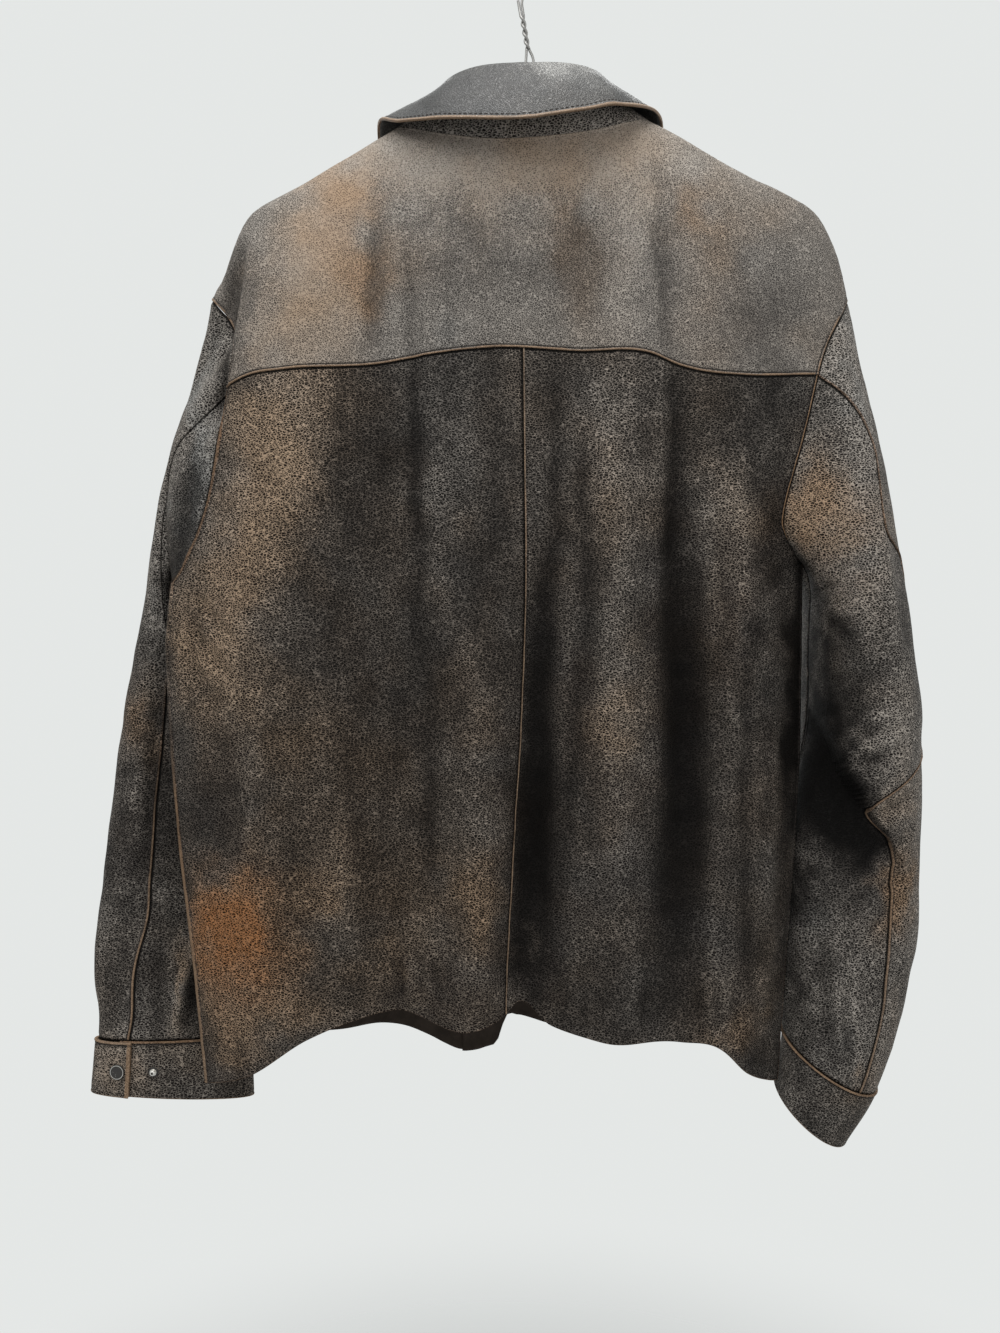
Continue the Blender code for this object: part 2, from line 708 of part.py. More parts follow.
def sleeve_piece(side, which):
    """The top sleeve runs over the outer side, the under sleeve along the body."""
    column = 1 if side == "left" else 3
    along = (np.linspace(0, 1, SLEEVE_ROWS + 1) ** 1.15 * CUFF_START)[:, None]
    back = through(along, SLEEVE_SEAMS[:, 0], SLEEVE_SEAMS[:, column])
    front = through(along, SLEEVE_SEAMS[:, 0], SLEEVE_SEAMS[:, column + 1])
    yoke_turns, back_turns, front_turns = body_turns(side)
    if which == "top":
        turns = np.concatenate([yoke_turns[::-1], front_turns[1:]])
        turn = back + (front - back) * (turns - turns[0]) / (turns[-1] - turns[0])
    else:
        turn = front - 1 + (back - front + 1) * back_turns[::-1] / back_turns[0]
    grid = sleeve_points(side, along, turn)
    gap = SEAM_GAP / 2
    grid = inset(grid, (ARMHOLE_GAP, CUFF_GAP / 2, gap, gap))
    grid[0, 0 if which == "under" else -1, 0] += UNDERARM_OUT * (-1 if side == "left" else 1)
    return grid[:, ::-1] if side == "left" else grid


def cuff_grid(side, rows, cols):
    """The cuff goes round from its under end, along the body and the outer side, to the flap's end."""
    under_end, flap_end = CUFF_ENDS[side]
    along = np.linspace(CUFF_START, 1, rows)[:, None]
    turn = np.linspace(under_end, flap_end - 1, cols)[None, :]
    grid = sleeve_points(side, along, turn)
    ahead = sleeve_points(side, along, turn - 0.004)
    behind = sleeve_points(side, along, turn + 0.004)
    around = ahead - behind
    down = np.gradient(grid, axis=0)
    outwards = np.cross(down, around) if side == "left" else np.cross(around, down)
    outwards = outwards / np.linalg.norm(outwards, axis=-1, keepdims=True)
    lift = LAP_LIFT * smooth((flap_end - 1 + 0.22 - turn) / 0.12)
    grid = grid + outwards * lift[..., None]
    return grid if side == "left" else grid[:, ::-1]


def neck_line():
    """The neck edge of the fronts and the yoke, from the collar's left end to its right end, with the turns there."""
    left = front_grid("left")[0, :NECK_COLUMNS + 1]
    back = yoke_grid()[0, SHOULDER_COLUMNS:-SHOULDER_COLUMNS]
    right = front_grid("right")[0, SHOULDER_COLUMNS:]
    first = left[0] + (left[1] - left[0]) * (COLLAR[0, 1] - left[0, 0]) / (left[1, 0] - left[0, 0])
    last = right[-1] + (right[-2] - right[-1]) * (COLLAR[-1, 1] - right[-1, 0]) / (right[-2, 0] - right[-1, 0])
    points = np.concatenate([[first], left[1:-1], back, right[1:-1], [last]])
    low, high = NECK_COLUMNS, NECK_COLUMNS + len(back)
    table = COLLAR[:, :2]
    turns = np.concatenate([
        np.interp(points[:low, 0], table[3::-1, 1], table[3::-1, 0]),
        np.interp(points[low:high, 0], table[3:10, 1], table[3:10, 0]),
        np.interp(points[high:, 0], table[:8:-1, 1], table[:8:-1, 0]),
    ])
    return turns, points


def collar_profile(place):
    """Points across the collar: place 0 on the neck seam, 1 on the fold, 2 on the leaf's edge."""
    turn, seam = neck_line()
    read = [through(turn, COLLAR[:, 0], COLLAR[:, k]) for k in range(2, 8)]
    fold, edge = (np.stack(read[k:k + 3], axis=-1) for k in (0, 3))
    out = (edge - fold) * np.array([1, 1, 0])
    out = out / np.linalg.norm(out, axis=-1, keepdims=True)
    drop = np.array([0, 0, -ROLL])
    inner, outer = fold - ROLL * out + drop, fold + ROLL * out + drop
    stops = [
        (0.0, seam),
        (0.45, (seam + inner) / 2 + out),
        (0.85, inner),
        (1.0, fold),
        (1.15, outer),
        (1.55, (outer + edge) / 2 + 2.5 * out),
        (2.0, edge),
    ]
    knots = np.array([stop[0] for stop in stops])
    values = np.stack([stop[1] for stop in stops])
    flat = values.reshape(len(knots), -1)
    made = np.stack([through(place, knots, flat[:, k]) for k in range(flat.shape[1])], axis=-1)
    return made.reshape(len(place), *values.shape[1:])


def collar_grid(first, last, rows):
    return collar_profile(np.linspace(first, last, rows))


# --------------------------------------------------------------------------- hard pieces
def turned(name, profile, place, facing, look, sides=14):
    """A small round piece: profile is radius and height, from its rim at the base up to its axis."""
    facing = facing / np.linalg.norm(facing)
    across = np.cross(facing, (0.0, 0.0, 1.0))
    across = across / np.linalg.norm(across)
    up = np.cross(across, facing)
    points, faces = [], []
    for radius, height in profile:
        for k in range(sides):
            angle = 2 * math.pi * k / sides
            spoke = math.cos(angle) * across + math.sin(angle) * up
            points.append((place + facing * height + spoke * radius) * MM)
    for ring in range(len(profile) - 1):
        for k in range(sides):
            low, high = ring * sides, (ring + 1) * sides
            faces.append((low + k, high + k, high + (k + 1) % sides, low + (k + 1) % sides))
    faces.append(tuple(range(sides)))
    faces.append(tuple(reversed(range((len(profile) - 1) * sides, len(profile) * sides))))
    return mesh_object(name, points, faces, look)


def snap_cap(name, place, facing, look):
    lip = CAP_HEIGHT * 0.45
    profile = [
        (CAP_RADIUS * 0.9, 0.0),
        (CAP_RADIUS, lip * 0.5),
        (CAP_RADIUS, lip),
        (CAP_RADIUS * 0.86, CAP_HEIGHT * 0.8),
        (CAP_RADIUS * 0.5, CAP_HEIGHT),
    ]
    return turned(name, profile, place, facing, look)


def snap_stud(name, place, facing, look):
    profile = [
        (CAP_RADIUS * 0.85, 0.0),
        (CAP_RADIUS * 0.8, 0.9),
        (STUD_RADIUS * 1.3, 1.1),
        (STUD_RADIUS, 1.6),
        (STUD_RADIUS * 1.15, 3.2),
        (STUD_RADIUS * 0.7, 3.9),
    ]
    return turned(name, profile, place, facing, look)


def rounded(points, passes=3):
    """Cuts the corners of a run of points, again and again."""
    for _ in range(passes):
        near = points[:-1] * 0.75 + points[1:] * 0.25
        far = points[:-1] * 0.25 + points[1:] * 0.75
        middle = np.stack([near, far], axis=1).reshape(-1, 3)
        points = np.concatenate([points[:1], middle, points[-1:]])
    return points


def thinned(points, least=0.02):
    """Leaves out the points of straight runs, so that the tube has rings only where it bends."""
    kept = [points[0]]
    for k in range(1, len(points) - 1):
        before = points[k] - kept[-1]
        after = points[k + 1] - points[k]
        bend = np.linalg.norm(np.cross(before, after)) / (np.linalg.norm(before) * np.linalg.norm(after))
        if bend > least:
            kept.append(points[k])
    return np.array(kept + [points[-1]])


def hanger_path():
    """One wire: hook, a strand of the twist, right shoulder, bar, left shoulder, and the twist's other strand."""
    centre_z = -(HOOK_RADIUS - WIRE / 2)
    arc = []
    for degrees in range(200, -61, -10):
        angle = math.radians(degrees)
        arc.append((HOOK_RADIUS * math.cos(angle), 0, centre_z + HOOK_RADIUS * math.sin(angle)))
    hook = np.array(arc)
    low, top = (np.array([x, 0, z]) for x, z in TWIST)
    lean = (top - low) / np.linalg.norm(top - low)
    side = np.cross((0.0, 1.0, 0.0), lean)
    turn = np.linspace(0, 1, TWIST_TURNS * 12 + 1)[:, None]
    angle = 2 * math.pi * TWIST_TURNS * turn
    out = WIRE * 0.56 * (side * np.cos(angle) + np.array([0, 1, 0]) * np.sin(angle))
    middle = top + (low - top) * turn
    apex = np.array([APEX[0], 0, APEX[1]])
    left = np.array([LEFT_END[0], 0, LEFT_END[1]])
    right = np.array([RIGHT_END[0], 0, RIGHT_END[1]])
    low_left, low_right = left[2] - BAR_DROP, right[2] - BAR_DROP
    drop = np.array([0, 0, -4.0])
    outline = [
        middle[-1] + out[-1],
        (17.2, 0, -89.5),
        (18.0, 0, -96.0),
        (20.5, 0, -101.5),
        apex + (right - apex) * 0.07 + drop,
        apex + (right - apex) * 0.13 + drop * 0.8,
        apex + (right - apex) * 0.25,
        right + (apex - right) * 0.05,
        right + (CORNER, 0, -4),
        (right[0] + CORNER, 0, low_right + 5),
        (right[0] - 2 * CORNER, 0, low_right),
        (left[0] + 2 * CORNER, 0, low_left),
        (left[0] - CORNER, 0, low_left + 5),
        left + (-CORNER, 0, -4),
        left + (apex - left) * 0.05,
        apex + (left - apex) * 0.25,
        apex + (left - apex) * 0.13 + drop * 0.8,
        apex + (left - apex) * 0.07 + drop,
        (8.5, 0, -101.5),
        (11.0, 0, -96.0),
        (11.6, 0, -89.5),
        middle[-1] - out[-1],
    ]
    body = rounded(np.array([tuple(p) for p in outline]))
    first, end = middle[0] + out[0], middle[0] - out[0]
    neck = rounded(np.concatenate([hook[-4:], [first + lean * 11, first + lean * 3, first]]), 2)
    strand, other = middle + out, (middle - out)[::-1]
    path = np.concatenate([hook[:-4], neck[:-1], strand[:-1], body, other[1:], [end + lean * 12.5]])
    return thinned(path)


def hanger(look):
    curve = bpy.data.curves.new("hanger", "CURVE")
    curve.dimensions = "3D"
    curve.bevel_depth = WIRE / 2 * MM
    curve.bevel_resolution = 2
    curve.use_fill_caps = True
    path = hanger_path() * MM
    spline = curve.splines.new("POLY")
    spline.points.add(len(path) - 1)
    for point, place in zip(spline.points, path):
        point.co = (*place, 1)
    curve.materials.append(look)
    made = bpy.data.objects.new("hanger", curve)
    bpy.context.scene.collection.objects.link(made)


def on_cuff(side, along, turn, height):
    """A place on the cuff's outer face and the way that it faces."""
    here = sleeve_points(side, along, turn)
    around = sleeve_points(side, along, turn + 0.01) - here
    down = sleeve_points(side, along + 0.003, turn) - here
    facing = np.cross(around, down) if side == "left" else np.cross(down, around)
    facing = facing / np.linalg.norm(facing)
    return here + facing * height, facing


def main():
    for old in list(bpy.data.objects):
        bpy.data.objects.remove(old)
    leather = material("coat leather", (0.052, 0.041, 0.036), 0.55)
    collar_leather = material("collar leather", (0.032, 0.032, 0.036), 0.5)
    metal = material("snap metal", (0.55, 0.53, 0.5), 0.35, 1.0)
    painted = material("snap cap", (0.05, 0.04, 0.035), 0.4)
    wire = material("hanger wire", (0.6, 0.6, 0.6), 0.3, 1.0)
    gap = SEAM_GAP / 2
    sheets = {
        "yoke": (inset(yoke_grid(), (gap, gap, gap, gap)), leather, WALL),
        "back_left": (inset(back_grid("left"), (gap, 0, gap, gap)), leather, WALL),
        "back_right": (inset(back_grid("right"), (gap, 0, gap, gap)), leather, WALL),
        "front_left": (inset(front_grid("left"), (gap, 0, 0, gap)), leather, WALL),
        "front_right": (inset(front_grid("right"), (gap, 0, 0, gap)), leather, WALL),
        "collar_stand": (inset(collar_grid(0, 0.85, 4), (COLLAR_GAP, gap, 0, 0)), collar_leather, WALL),
        "collar_leaf": (inset(collar_grid(0.85, 2, 7), (gap, 0, 0, 0)), collar_leather, WALL),
    }
    for side in ("left", "right"):
        for which in ("top", "under"):
            sheets[f"sleeve_{side}_{which}"] = (sleeve_piece(side, which), leather, WALL)
        grid = inset(cuff_grid(side, 3, 26), (CUFF_GAP / 2, 0, 0, 0))
        sheets["cuff_" + side] = (grid, leather, CUFF_WALL)
    normals = shared_normals(sheets)
    for name, (grid, look, thick) in sheets.items():
        wall(name, grid, normals[name], look, thick)
    hanger(wire)
    for name, side, turn, lift, kind in CUFF_SNAPS:
        place, facing = on_cuff(side, 0.987, turn, CUFF_WALL / 2 + lift + 0.4)
        (snap_cap if kind == "cap" else snap_stud)(name, place, facing, painted if kind == "cap" else metal)
    for k in range(FRONT_SNAPS):
        z = FIRST_SNAP_Z - k * SNAP_STEP
        x = through(z, CENTRE_FRONT[:, 0], CENTRE_FRONT[:, 1])
        y = front_y(x, z) + LAP_LIFT + WALL / 2 + 0.8
        snap_cap(f"front_snap_{k + 1}", np.array([x, y, z]), np.array([0.0, 1.0, 0.0]), painted)


main()
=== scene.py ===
"""The finished look of a worn leather coat hanging on a wire hanger, laid out as a Blender add-on.

The pieces follow the coat's pattern: a table for each seam, section or fold, in millimetres, read by smooth
curves and divided finely enough for the creases, the sewn edges and the rubbed finish.
The origin is the inner top of the hanger's hook, the coat's back faces -Y and the wearer's right is +X.
"""

import math

import bmesh
import bpy
import numpy as np
from bpy.props import FloatProperty, FloatVectorProperty, IntProperty, PointerProperty
from bpy.types import Operator, Panel, PropertyGroup
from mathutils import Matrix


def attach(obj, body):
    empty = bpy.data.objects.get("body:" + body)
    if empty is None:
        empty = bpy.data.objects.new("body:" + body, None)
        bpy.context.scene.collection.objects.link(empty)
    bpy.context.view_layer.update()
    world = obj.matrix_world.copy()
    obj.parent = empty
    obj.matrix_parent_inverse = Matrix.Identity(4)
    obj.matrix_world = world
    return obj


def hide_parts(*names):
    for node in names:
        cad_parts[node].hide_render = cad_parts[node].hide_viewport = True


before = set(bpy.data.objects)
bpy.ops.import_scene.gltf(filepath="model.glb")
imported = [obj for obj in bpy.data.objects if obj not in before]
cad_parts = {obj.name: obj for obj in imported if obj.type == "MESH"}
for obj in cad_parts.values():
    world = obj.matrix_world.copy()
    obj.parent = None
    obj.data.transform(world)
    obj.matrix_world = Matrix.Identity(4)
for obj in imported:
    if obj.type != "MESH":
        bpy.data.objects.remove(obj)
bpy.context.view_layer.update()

bl_info = {
    "name": "Worn leather coat",
    "version": (1, 0, 0),
    "blender": (4, 5, 0),
    "location": "3D View > Sidebar > Coat",
    "description": "Builds a worn leather coat on a wire hanger, with its creases, seams, stitches and snaps",
    "category": "Object",
}

MM = 0.001

# Driving sizes
WALL = 1.8                # leather, with its seam turnings pressed flat
SEAM_GAP = 0.3            # between two panels sewn edge to edge
BACK_DEPTH = 62.0         # how far the back stands out behind the hanger, low down
FRONT_DEPTH = 52.0        # how far the front stands out
CREST_SPREAD = 150.0      # drop below the shoulder line in which the coat gains its depth
SIDE_ROLL = 110.0         # width of the rounding next to the side seams
EDGE_BACKSET = 12.0       # the side seams lie this far behind the hanger's plane
LEFT_EDGE_BACKSET = 16.0  # more on the left, where the sleeve is tucked behind the body
SHOULDER_SEAM_DROP = 14.0  # the yoke's front edge lies this far below the shoulder line
PLACKET_LAP = 33.0        # the left front laps over the right by this much
LAP_LIFT = 3.2            # height of an upper layer over the one that it laps
CUFF_WALL = 3.0
FRONT_SNAPS = 6
FIRST_SNAP_Z = -290.0
SNAP_STEP = 118.0
WIRE = 2.2                # diameter of the hanger's wire
HOOK_RADIUS = 21.0
TWIST_TURNS = 2
TWIST = ((13.0, -84.0), (8.2, -56.5))  # x, z of its lower and its upper end

# The shoulder line over the hanger, and the coat's fall beyond the hanger's ends.
CREST = np.array([
    # x, z
    (-252, -298), (-249, -287), (-239, -268), (-229, -242), (-222, -227), (-216, -218.5), (-208, -212.5),
    (-198, -207), (-176, -195.5), (-152, -182), (-134, -172), (-107, -156), (-60, -129.5), (12, -88),
    (60, -114), (122, -148.5), (147, -162), (172, -176), (197, -188.5), (220, -199), (232, -204.7),
    (242, -210), (251, -218), (258, -228), (265, -241.5), (273, -264), (278, -287), (281, -298),
], float)

# Where the body's outline would run, with the sleeves off: the lines that its depth is measured from.
SIDES = np.array([
    # z, left x, right x
    (-215, -262, 292), (-287, -262, 290), (-368, -268, 282), (-450, -276, 262), (-503, -278, 241),
    (-523, -279, 241), (-574, -284, 241), (-660, -281, 241), (-745, -275, 238), (-840, -265, 232),
    (-945, -256, 226),
], float)

# The armhole seams, seen from behind. Turn 0 is under the arm and turn 0.5 is on the shoulder.
ARMHOLE = np.array([
    # turn, left x, left z, right x, right z
    (0, -279, -523, 241, -503), (0.05, -271, -513, 231, -495), (0.1, -264, -498, 221, -481),
    (0.15, -256, -482, 219, -464), (0.2, -247, -455, 225, -438), (0.25, -240, -418, 233, -410),
    (0.3, -235, -388, 240, -381), (0.35, -231, -364, 246, -355), (0.4, -225, -335, 254, -330),
    (0.45, -231, -309, 266, -307), (0.5, -249, -287, 278, -287),
], float)
YOKE_TURN = 0.35          # where the yoke seam meets the armhole

NECK = np.array([
    # x, z of the neck seam at the back
    (-94, -152), (-53, -164), (-5, -171), (31, -168), (66, -161), (106, -147),
], float)
FRONT_NECK = np.array([
    # x, z of the neck seam at the front
    (-98, -158), (-80, -186), (-42, -216), (9, -230), (60, -214), (96, -182), (112, -154),
], float)
YOKE_SEAM = np.array([
    # x, z
    (-231, -364), (-214, -357), (-183, -353), (-102, -349), (-65, -342), (-12, -337), (51, -340),
    (109, -341), (137, -352), (187, -358), (246, -355),
], float)
NECK_POINTS = {"left": -104.0, "right": 118.0}  # x where the shoulder seams meet the neck seam
CENTRE_BACK = np.array([
    # z, x
    (-900, -7), (-830, -4), (-761, 0), (-656, 6), (-536, 10), (-418, 9), (-330, 8),
], float)
CENTRE_TOP_Z = -338.0     # about where the centre-back seam meets the yoke seam
CENTRE_LOW_Z = -872.0     # and the hem
CENTRE_FRONT = np.array([
    # z, x
    (-950, -28), (-600, -14), (-225, 9),
], float)
BACK_HEM = np.array([
    # x, z
    (-256, -940), (-217, -927), (-165, -892), (-94, -871), (-36, -883), (-6, -873), (4, -865), (31, -880),
    (73, -892), (136, -894), (171, -903), (195, -927), (226, -945),
], float)
FRONT_HEM = np.array([
    # x, z
    (-256, -940), (-205, -924), (-147, -918), (-114, -918), (-94, -922), (-75, -932), (-61, -941),
    (-49, -946), (-35, -945), (-23, -941), (-12, -934), (-5, -913), (5, -911), (18, -914), (33, -919),
    (70, -918), (110, -919), (170, -926), (226, -945),
], float)

# The largest folds: a soft ridge or, with a negative height, a trough.
BACK_FOLDS = np.array([
    # top x, top z, bottom x, bottom z, half width, height, runs off the hem
    (138, -352, 142, -880, 17, -12, 0), (22, -470, 6, -875, 15, -11, 1),
    (-112, -350, -92, -872, 24, -10, 1), (70, -400, 84, -890, 26, 7, 1), (196, -400, 188, -925, 18, 7, 1),
    (-30, -560, -34, -885, 20, 8, 1), (-190, -400, -205, -800, 34, 5, 0),
], float)
FRONT_FOLDS = np.array([
    # top x, top z, bottom x, bottom z, half width, height, runs off the hem
    (-130, -330, -150, -918, 24, -10, 1), (-70, -420, -62, -925, 22, 7, 1),
    (120, -340, 110, -920, 24, -10, 1), (60, -450, 62, -918, 20, 7, 1), (180, -420, 172, -925, 18, 7, 1),
], float)

SHOULDER_FOLD = ((-213, -228), (-232, -372))  # x, z of its ends
SHOULDER_FOLD_DEPTH = 13.0

# Sections of the sleeves, from the armhole to the cuff's edge. The inner point faces the body, bow moves the
# broad sides to the right, and lean turns the section's back side to the right.
LEFT_SLEEVE = np.array([
    # along, inner x, y, z, outer x, y, z, half thickness, bow, lean
    (0, -279, -16, -523, -249, 0, -287, 27, 20, 0), (0.05, -284, -8, -532, -255, 2, -313, 26, 14, -0.4),
    (0.11, -284, 10, -548, -265, 5, -346, 24, 8, -0.7), (0.17, -281, 36, -564, -275, 8, -381, 23, 4, -0.9),
    (0.24, -274, 48, -588, -288, 10, -424, 26, 2, -0.6),
    (0.34, -260, 58, -618, -305, 14, -490, 28, 0, -0.3),
    (0.44, -245, 66, -652, -320, 16, -556, 28, 0, -0.1), (0.54, -232, 70, -690, -333, 17, -625, 28, 0, 0),
    (0.64, -225, 68, -730, -344, 16, -694, 27, 0, 0), (0.74, -223, 58, -772, -353, 14, -764, 26, 0, 0),
    (0.84, -226, 42, -818, -360, 10, -824, 24, 0, 0), (0.9, -229, 26, -860, -361, 6, -862, 21, 0, 0),
    (0.95, -229, 14, -894, -356, 2, -898, 17, 0, 0), (0.97, -228, 10, -911, -356, 0, -912, 15, 0, 0),
    (1, -226, 6, -966, -360, -2, -958, 13, 0, 0),
], float)
RIGHT_SLEEVE = np.array([
    # along, inner x, y, z, outer x, y, z, half thickness, bow, lean
    (0, 241, -12, -503, 278, 0, -287, 29, -22, 0), (0.06, 248, -10, -514, 286, 1, -320, 40, -14, 0),
    (0.14, 251, -7, -530, 297, 3, -372, 52, -6, 0), (0.24, 252, -2, -550, 309, 5, -432, 60, 0, 0),
    (0.34, 252, 0, -579, 321, 7, -498, 65, 0, 0), (0.44, 253, 2, -612, 333, 8, -568, 67, 0, 0),
    (0.54, 252, 6, -650, 343, 9, -636, 66, 0, 0), (0.64, 243, 16, -700, 349, 10, -702, 61, 0, 0),
    (0.74, 230, 26, -752, 351, 10, -764, 53, 0, 0), (0.84, 226, 24, -810, 351, 9, -816, 47, 0, 0),
    (0.9, 227, 17, -852, 345, 7, -852, 43, 0, -0.1), (0.95, 231, 6, -886, 332, 3, -902, 39, 0, -0.4),
    (0.97, 235, 0, -905, 315, 0, -953, 37, 0, -0.5), (1, 229, 0, -952, 289, 0, -999, 34, 0, -0.5),
], float)
CUFF_START = 0.97
CUFF_GAP = 1.4
ARMHOLE_GAP = 0.5
UNDERARM_OUT = 1.5        # the sleeve's corner under the arm stays this much further out
SLEEVE_BLEND = 0.2        # along the sleeve, where the armhole's own curve has faded out
FLAP_LIFTED = (0.22, 0.12)  # turns from the flap's end in which it lies on the cuff, and then comes down
SNAP_ALONG = 0.987        # along the sleeve, the line of the cuff's snaps
CUFF_ENDS = {"left": (0.37, 0.335), "right": (0.62, 0.54)}  # turns of the under end and the flap's end
CUFF_SNAPS = (
    # name, side, turn, lift, kind
    ("cuff_left_cap", "left", 0.365, LAP_LIFT, "cap"),
    ("cuff_left_stud", "left", 0.285, 0.0, "stud"),
    ("cuff_right_cap", "right", 0.575, LAP_LIFT, "cap"),
)

# The seams on the sleeves' backs. Their other seams lie under the arm, at turn 0.
SLEEVE_SEAMS = np.array([
    # along, left turn, right turn
    (0, 0.35, 0.35), (0.055, 0.348, 0.366), (0.15, 0.343, 0.358), (0.2, 0.34, 0.33), (0.27, 0.333, 0.31),
    (0.34, 0.32, 0.4), (0.39, 0.31, 0.445), (0.45, 0.322, 0.5), (0.55, 0.333, 0.5), (0.57, 0.333, 0.455),
    (0.6, 0.334, 0.36), (0.62, 0.334, 0.3), (0.647, 0.334, 0.245), (0.7, 0.329, 0.32), (0.753, 0.324, 0.336),
    (0.825, 0.314, 0.333), (0.863, 0.322, 0.332), (0.945, 0.336, 0.33), (0.97, 0.345, 0.33),
], float)

# The collar: turns around the neck from the left front end, over the centre back, to the right one.
COLLAR = np.array([
    # turn, seam x, fold x, y, z, edge x, y, z
    (-1, 3, 4, 38, -186, -32, 62, -262), (-0.8, -42, -28, 34, -168, -76, 60, -236),
    (-0.62, -80, -50, 24, -145, -106, 42, -190), (-0.46, -101, -60, 2, -122, -111, 2, -145),
    (-0.3, -84, -50, -26, -120, -90, -34, -157), (-0.14, -46, -25, -40, -117, -44, -62, -167),
    (0, 4, 8, -43, -116, 6, -71, -171), (0.14, 50, 42, -40, -115, 50, -66, -163),
    (0.3, 92, 68, -26, -115, 91, -42, -148), (0.46, 117, 79, 2, -117, 124, 2, -141),
    (0.62, 100, 70, 24, -142, 122, 42, -186), (0.8, 62, 46, 34, -166, 96, 60, -236),
    (1, 15, 14, 38, -186, 50, 62, -262),
], float)
ROLL = 4.0                # rounding of the collar's fold
STAND_LAP = 2.5           # the stand goes down behind the yoke's edge

# The hanger, in its own plane
APEX = (12.0, -94.0)
LEFT_END = (-201.0, -213.8)  # x, z of the shoulders' ends
RIGHT_END = (229.0, -209.6)
BAR_DROP = 17.0           # from a shoulder's end down to the bar
CORNER = 7.0              # rounding of the wire at the shoulders' ends
NECK_WIRES = (            # x, z down the right wire below the twist, and down the left one
    ((17.2, -89.5), (18.0, -96.0), (20.5, -101.5)),
    ((11.6, -89.5), (11.0, -96.0), (8.5, -101.5)),
)
ARM_SAG = 4.0             # the arms start this far below the line to the shoulder's end


# The snaps, turned: each ring's radius over the cap's radius, height, and look (0 painted, 1 plated)
CAP_RINGS = (
    (0.8, -0.8, 1), (0.98, -0.2, 1), (1, 0.5, 0), (1, 1, 0), (0.97, 1.4, 0), (0.9, 1.62, 0), (0.84, 1.62, 1),
    (0.8, 1.45, 0), (0.72, 1.5, 0), (0.45, 1.78, 0), (0.15, 1.9, 0),
)
STUD_RINGS = (
    (0.52, -0.6, 0), (0.63, 0.1, 0), (0.63, 0.9, 0), (0.56, 1.25, 0), (0.44, 1.15, 0), (0.34, 1.2, 1),
    (0.29, 1.6, 1), (0.28, 2.3, 1), (0.33, 2.9, 1), (0.34, 3.3, 1), (0.27, 3.75, 1), (0.16, 3.9, 1),
    (0.1, 3.7, 0), (0.04, 3.6, 0),
)

CAMERA_PLACE = (-0.010, -0.900, -0.545)
CAMERA_PITCH = 3.0        # downwards
CAMERA_LENS = 28.68

# How finely the panels are divided. Panels that are sewn together share their divisions.
FRONT_ROWS = 5            # of the yoke, in front of the shoulder line
YOKE_ROWS = 46             # of the yoke, behind it
ARM_ROWS_BACK = 40
ARM_ROWS_FRONT = 60
SIDE_ROWS = 104
HALF_COLUMNS = 66
SHOULDER_COLUMNS = 38
NECK_COLUMNS = 28
SLEEVE_ROWS = 160
SLEEVE_CROWDING = 1.15    # above 1, the sleeve's rows lie closer near the shoulder
NECK_SAMPLES = 60
CUFF_DIVISIONS = (14, 100)
STAND_ROWS = 12
LEAF_ROWS = 24

# --------------------------------------------------------------------------- curves and fields
def through(at, knots, values):
    """A smooth curve through a table's rows, read at the given places."""
    at = np.asarray(at, float)
    slope = np.gradient(values, knots)
    i = np.clip(np.searchsorted(knots, at) - 1, 0, len(knots) - 2)
    step = knots[i + 1] - knots[i]
    s = np.clip((at - knots[i]) / step, 0, 1)
    rise = s * s * (3 - 2 * s)
    ends = values[i] * (1 - rise) + values[i + 1] * rise
    return ends + step * (slope[i] * s * (1 - s) ** 2 - slope[i + 1] * s * s * (1 - s))


def read(table, at, column=1):
    """A column of a table, read at places along its first column."""
    return through(at, table[:, 0], table[:, column])


def smooth(s):
    s = np.clip(s, 0, 1)
    return s * s * (3 - 2 * s)


def unit(ways):
    return ways / np.maximum(np.linalg.norm(ways, axis=-1, keepdims=True), 1e-9)


def crest(x):
    return read(CREST, x)


def side_line(z, column):
    return np.interp(z, SIDES[::-1, 0], SIDES[::-1, column])


def fold_relief(folds, x, z):
    """The summed height of the folds at a place."""
    total = np.zeros(np.broadcast(x, z).shape)
    for top_x, top_z, low_x, low_z, half, height, open_end in folds:
        along = (top_z - z) / (top_z - low_z)
        middle = top_x + (low_x - top_x) * along
        fade = smooth(along / 0.35)
        if not open_end:
            fade = fade * smooth((1 - along) / 0.35)
        total += height * fade * np.exp(-(((x - middle) / half) ** 2))
    return total


def side_factor(x, z, roll, power):
    """0 on the side lines, 1 in the middle."""
    left = x - side_line(z, 1)
    right = side_line(z, 2) - x
    inside = np.clip(np.minimum(left, right) / roll, 0, 1)
    return (1 - (1 - inside) ** 2) ** power


def edge_backset(x, drop, z):
    tuck = LEFT_EDGE_BACKSET * smooth((-x - 60) / 160) * smooth((-z - 430) / 120)
    return (EDGE_BACKSET + tuck) * np.clip(drop / 60, 0, 1)


def back_y(x, z):
    drop = np.maximum(crest(x) - z, 0)
    swell = BACK_DEPTH * np.sqrt(drop / (drop + CREST_SPREAD))
    edge = edge_backset(x, drop, z)
    factor = side_factor(x, z, SIDE_ROLL, 0.75)
    flat = -(edge + (swell - edge) * factor) - fold_relief(BACK_FOLDS, x, z) * factor
    return flat + shoulder_fold(x, z)


